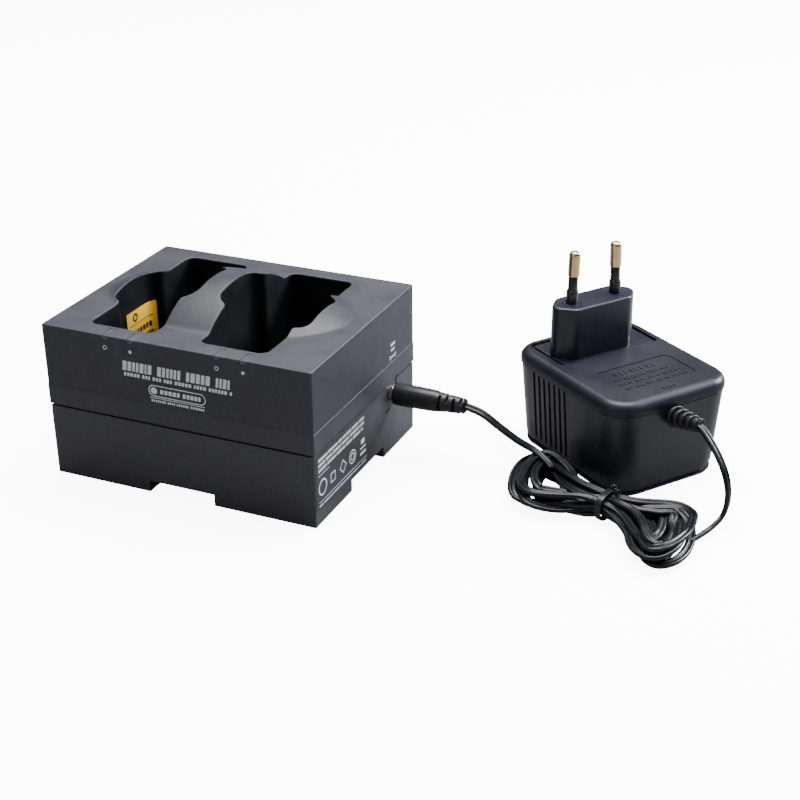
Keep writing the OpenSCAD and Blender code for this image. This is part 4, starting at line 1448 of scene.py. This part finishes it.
def build_tie():
    """Twist tie: two wraps round the bundle and two short ends twisted together."""
    wrap_steps = 64
    total = 2 * wrap_steps
    squareness = 3.2
    path = []
    for k in range(total + 1):
        a = 2 * math.pi * k / wrap_steps + 1.1
        c, s = math.cos(a), math.sin(a)
        q = (abs(c) ** squareness + abs(s) ** squareness) ** (-1 / squareness)
        lay = 0.35 * (k / total)  # the second wrap lies over the first
        path.append(TIE_CENTRE + TIE_ALONG * (-0.9 + 1.8 * k / total)
                    + TIE_ACROSS * c * q * (5.65 + lay) + np.array([0, 0, s * q * (4.2 + lay)]))
    band = strand("tie_band", path, rounded_rect(0.8, 0.22, 0.2, 4), TIE_ALONG, material=GRIP)
    attach(band, "power_supply", "lead_tie")

    root = path[0] * 0.5 + path[-1] * 0.5 + np.array([0, 0, 0.5])
    end_section = rounded_rect(0.55, 0.17, 0.15, 3)
    for i in (0, 1):
        points = []
        for k in range(50):
            g = k / 49
            a = 2 * math.pi * 3.2 * g + math.pi * i
            arch = 1.7 * math.sin(math.pi * min(g * 1.1, 1))
            points.append(root + np.array([2.2 * g, -3.5 * g, arch])
                          + np.array([0.45 * math.cos(a), 0, 0.45 * math.sin(a)]))
        end = strand(f"tie_end_{i}", points, end_section, carried_sides(points, (0, 0, 1)),
                     material=GRIP)
        attach(end, "power_supply")


# ------------------------------------------------------------------ floor, light, camera (metres)
def build_floor():
    """Seen directly the floor is bright; towards the objects it returns little light."""
    mesh = bpy.data.meshes.new("floor")
    mesh.from_pydata([(-4, -4, 0), (4, -4, 0), (4, 4, 0), (-4, 4, 0)], [], [(0, 1, 2, 3)])
    floor = link("floor", mesh)
    floor.location.z = -0.00005
    material, shader, bsdf = new_material("floor_paper")
    shader.set(bsdf, {
        "Base Color": (0.94, 0.94, 0.945), "Roughness": 0.8, "Specular IOR Level": 0.2,
        "Emission Color": (1, 1, 1), "Emission Strength": 9.0})
    dim = shader.node("ShaderNodeBsdfDiffuse", {"Color": (0.22, 0.22, 0.23)})
    ray = shader.node("ShaderNodeLightPath")
    mix = shader.node("ShaderNodeMixShader", {
        0: ray.outputs["Is Camera Ray"], 1: dim.outputs[0], 2: bsdf.outputs[0]})
    shader.set(shader.tree.nodes["Material Output"], {"Surface": mix.outputs[0]})
    mesh.materials.append(material)


def area_light(name, position, size, power, colour=(1, 1, 1)):
    aim = Vector((0.11, 0.06, 0.03))
    light = bpy.data.lights.new(name, "AREA")
    light.shape = "RECTANGLE"
    light.size, light.size_y = size
    light.energy, light.color = power, colour
    obj = link(name, light)
    obj.location = position
    obj.rotation_euler = (aim - Vector(position)).to_track_quat("-Z", "Y").to_euler()


def build_world():
    """Bright overhead and dark near the horizon; the camera sees plain white."""
    world = bpy.data.worlds.new("studio")
    bpy.context.scene.world = world
    shader = Shader(world)
    sky = shader.node("ShaderNodeTexCoord").outputs["Generated"]
    split = shader.node("ShaderNodeSeparateXYZ", {0: sky})
    grade = shader.ramp(split.outputs["Z"], [
        (0.0, (0.03, 0.03, 0.033)), (0.35, (0.10, 0.10, 0.11)),
        (0.7, (0.75, 0.76, 0.80)), (1.0, (0.95, 0.96, 1.0))])
    ray = shader.node("ShaderNodeLightPath")
    colour = shader.mix(ray.outputs["Is Camera Ray"], grade, (11.0, 11.0, 11.0))
    shader.set(shader.tree.nodes["Background"], {"Color": colour, "Strength": 0.9})


def build_camera():
    data = bpy.data.cameras.new("camera")
    data.sensor_width, data.lens = 36.0, 71.05
    data.clip_start, data.clip_end = 0.01, 20
    camera = link("camera", data)
    right = Vector((0.91414, 0.40527, -0.01046))
    up = Vector((-0.17064, 0.40805, 0.89687))
    forward = Vector((-0.36774, 0.81808, -0.44217))
    turned = Matrix((right, up, -forward)).transposed()
    camera.matrix_world = Matrix.Translation((0.30992, -0.39616, 0.26713)) @ turned.to_4x4()
    bpy.context.scene.camera = camera


# ------------------------------------------------------------------ everything, in order
dress_cad_nodes()
build_cover()
from_cad("base_housing", "base_shell", BASE, width=0.32, segments=3)
from_cad("light_pipes", "light_pipe_set", PIPE, width=0.12, segments=2)
build_springs()
print_random = np.random.default_rng(7)  # drawn from in turn by all print on the station
build_front_print(print_random)
build_socket_marks(print_random)
build_side_label(print_random)
build_bay_label(print_random)
build_grip()
build_barrel()
build_case()
build_lid()
build_lid_bars()
build_plug()
build_pins()
build_boot()
build_coil()
build_plug_lead()
build_supply_lead()
build_tie()
build_floor()
area_light("key", (0.10, 0.30, 0.95), size=(0.8, 0.6), power=32)
area_light("right", (0.66, 0.62, 0.42), size=(0.26, 0.26), power=17, colour=(0.92, 0.95, 1.0))
area_light("front", (-0.15, -0.9, 0.4), size=(0.7, 0.4), power=1.2)
build_world()
build_camera()
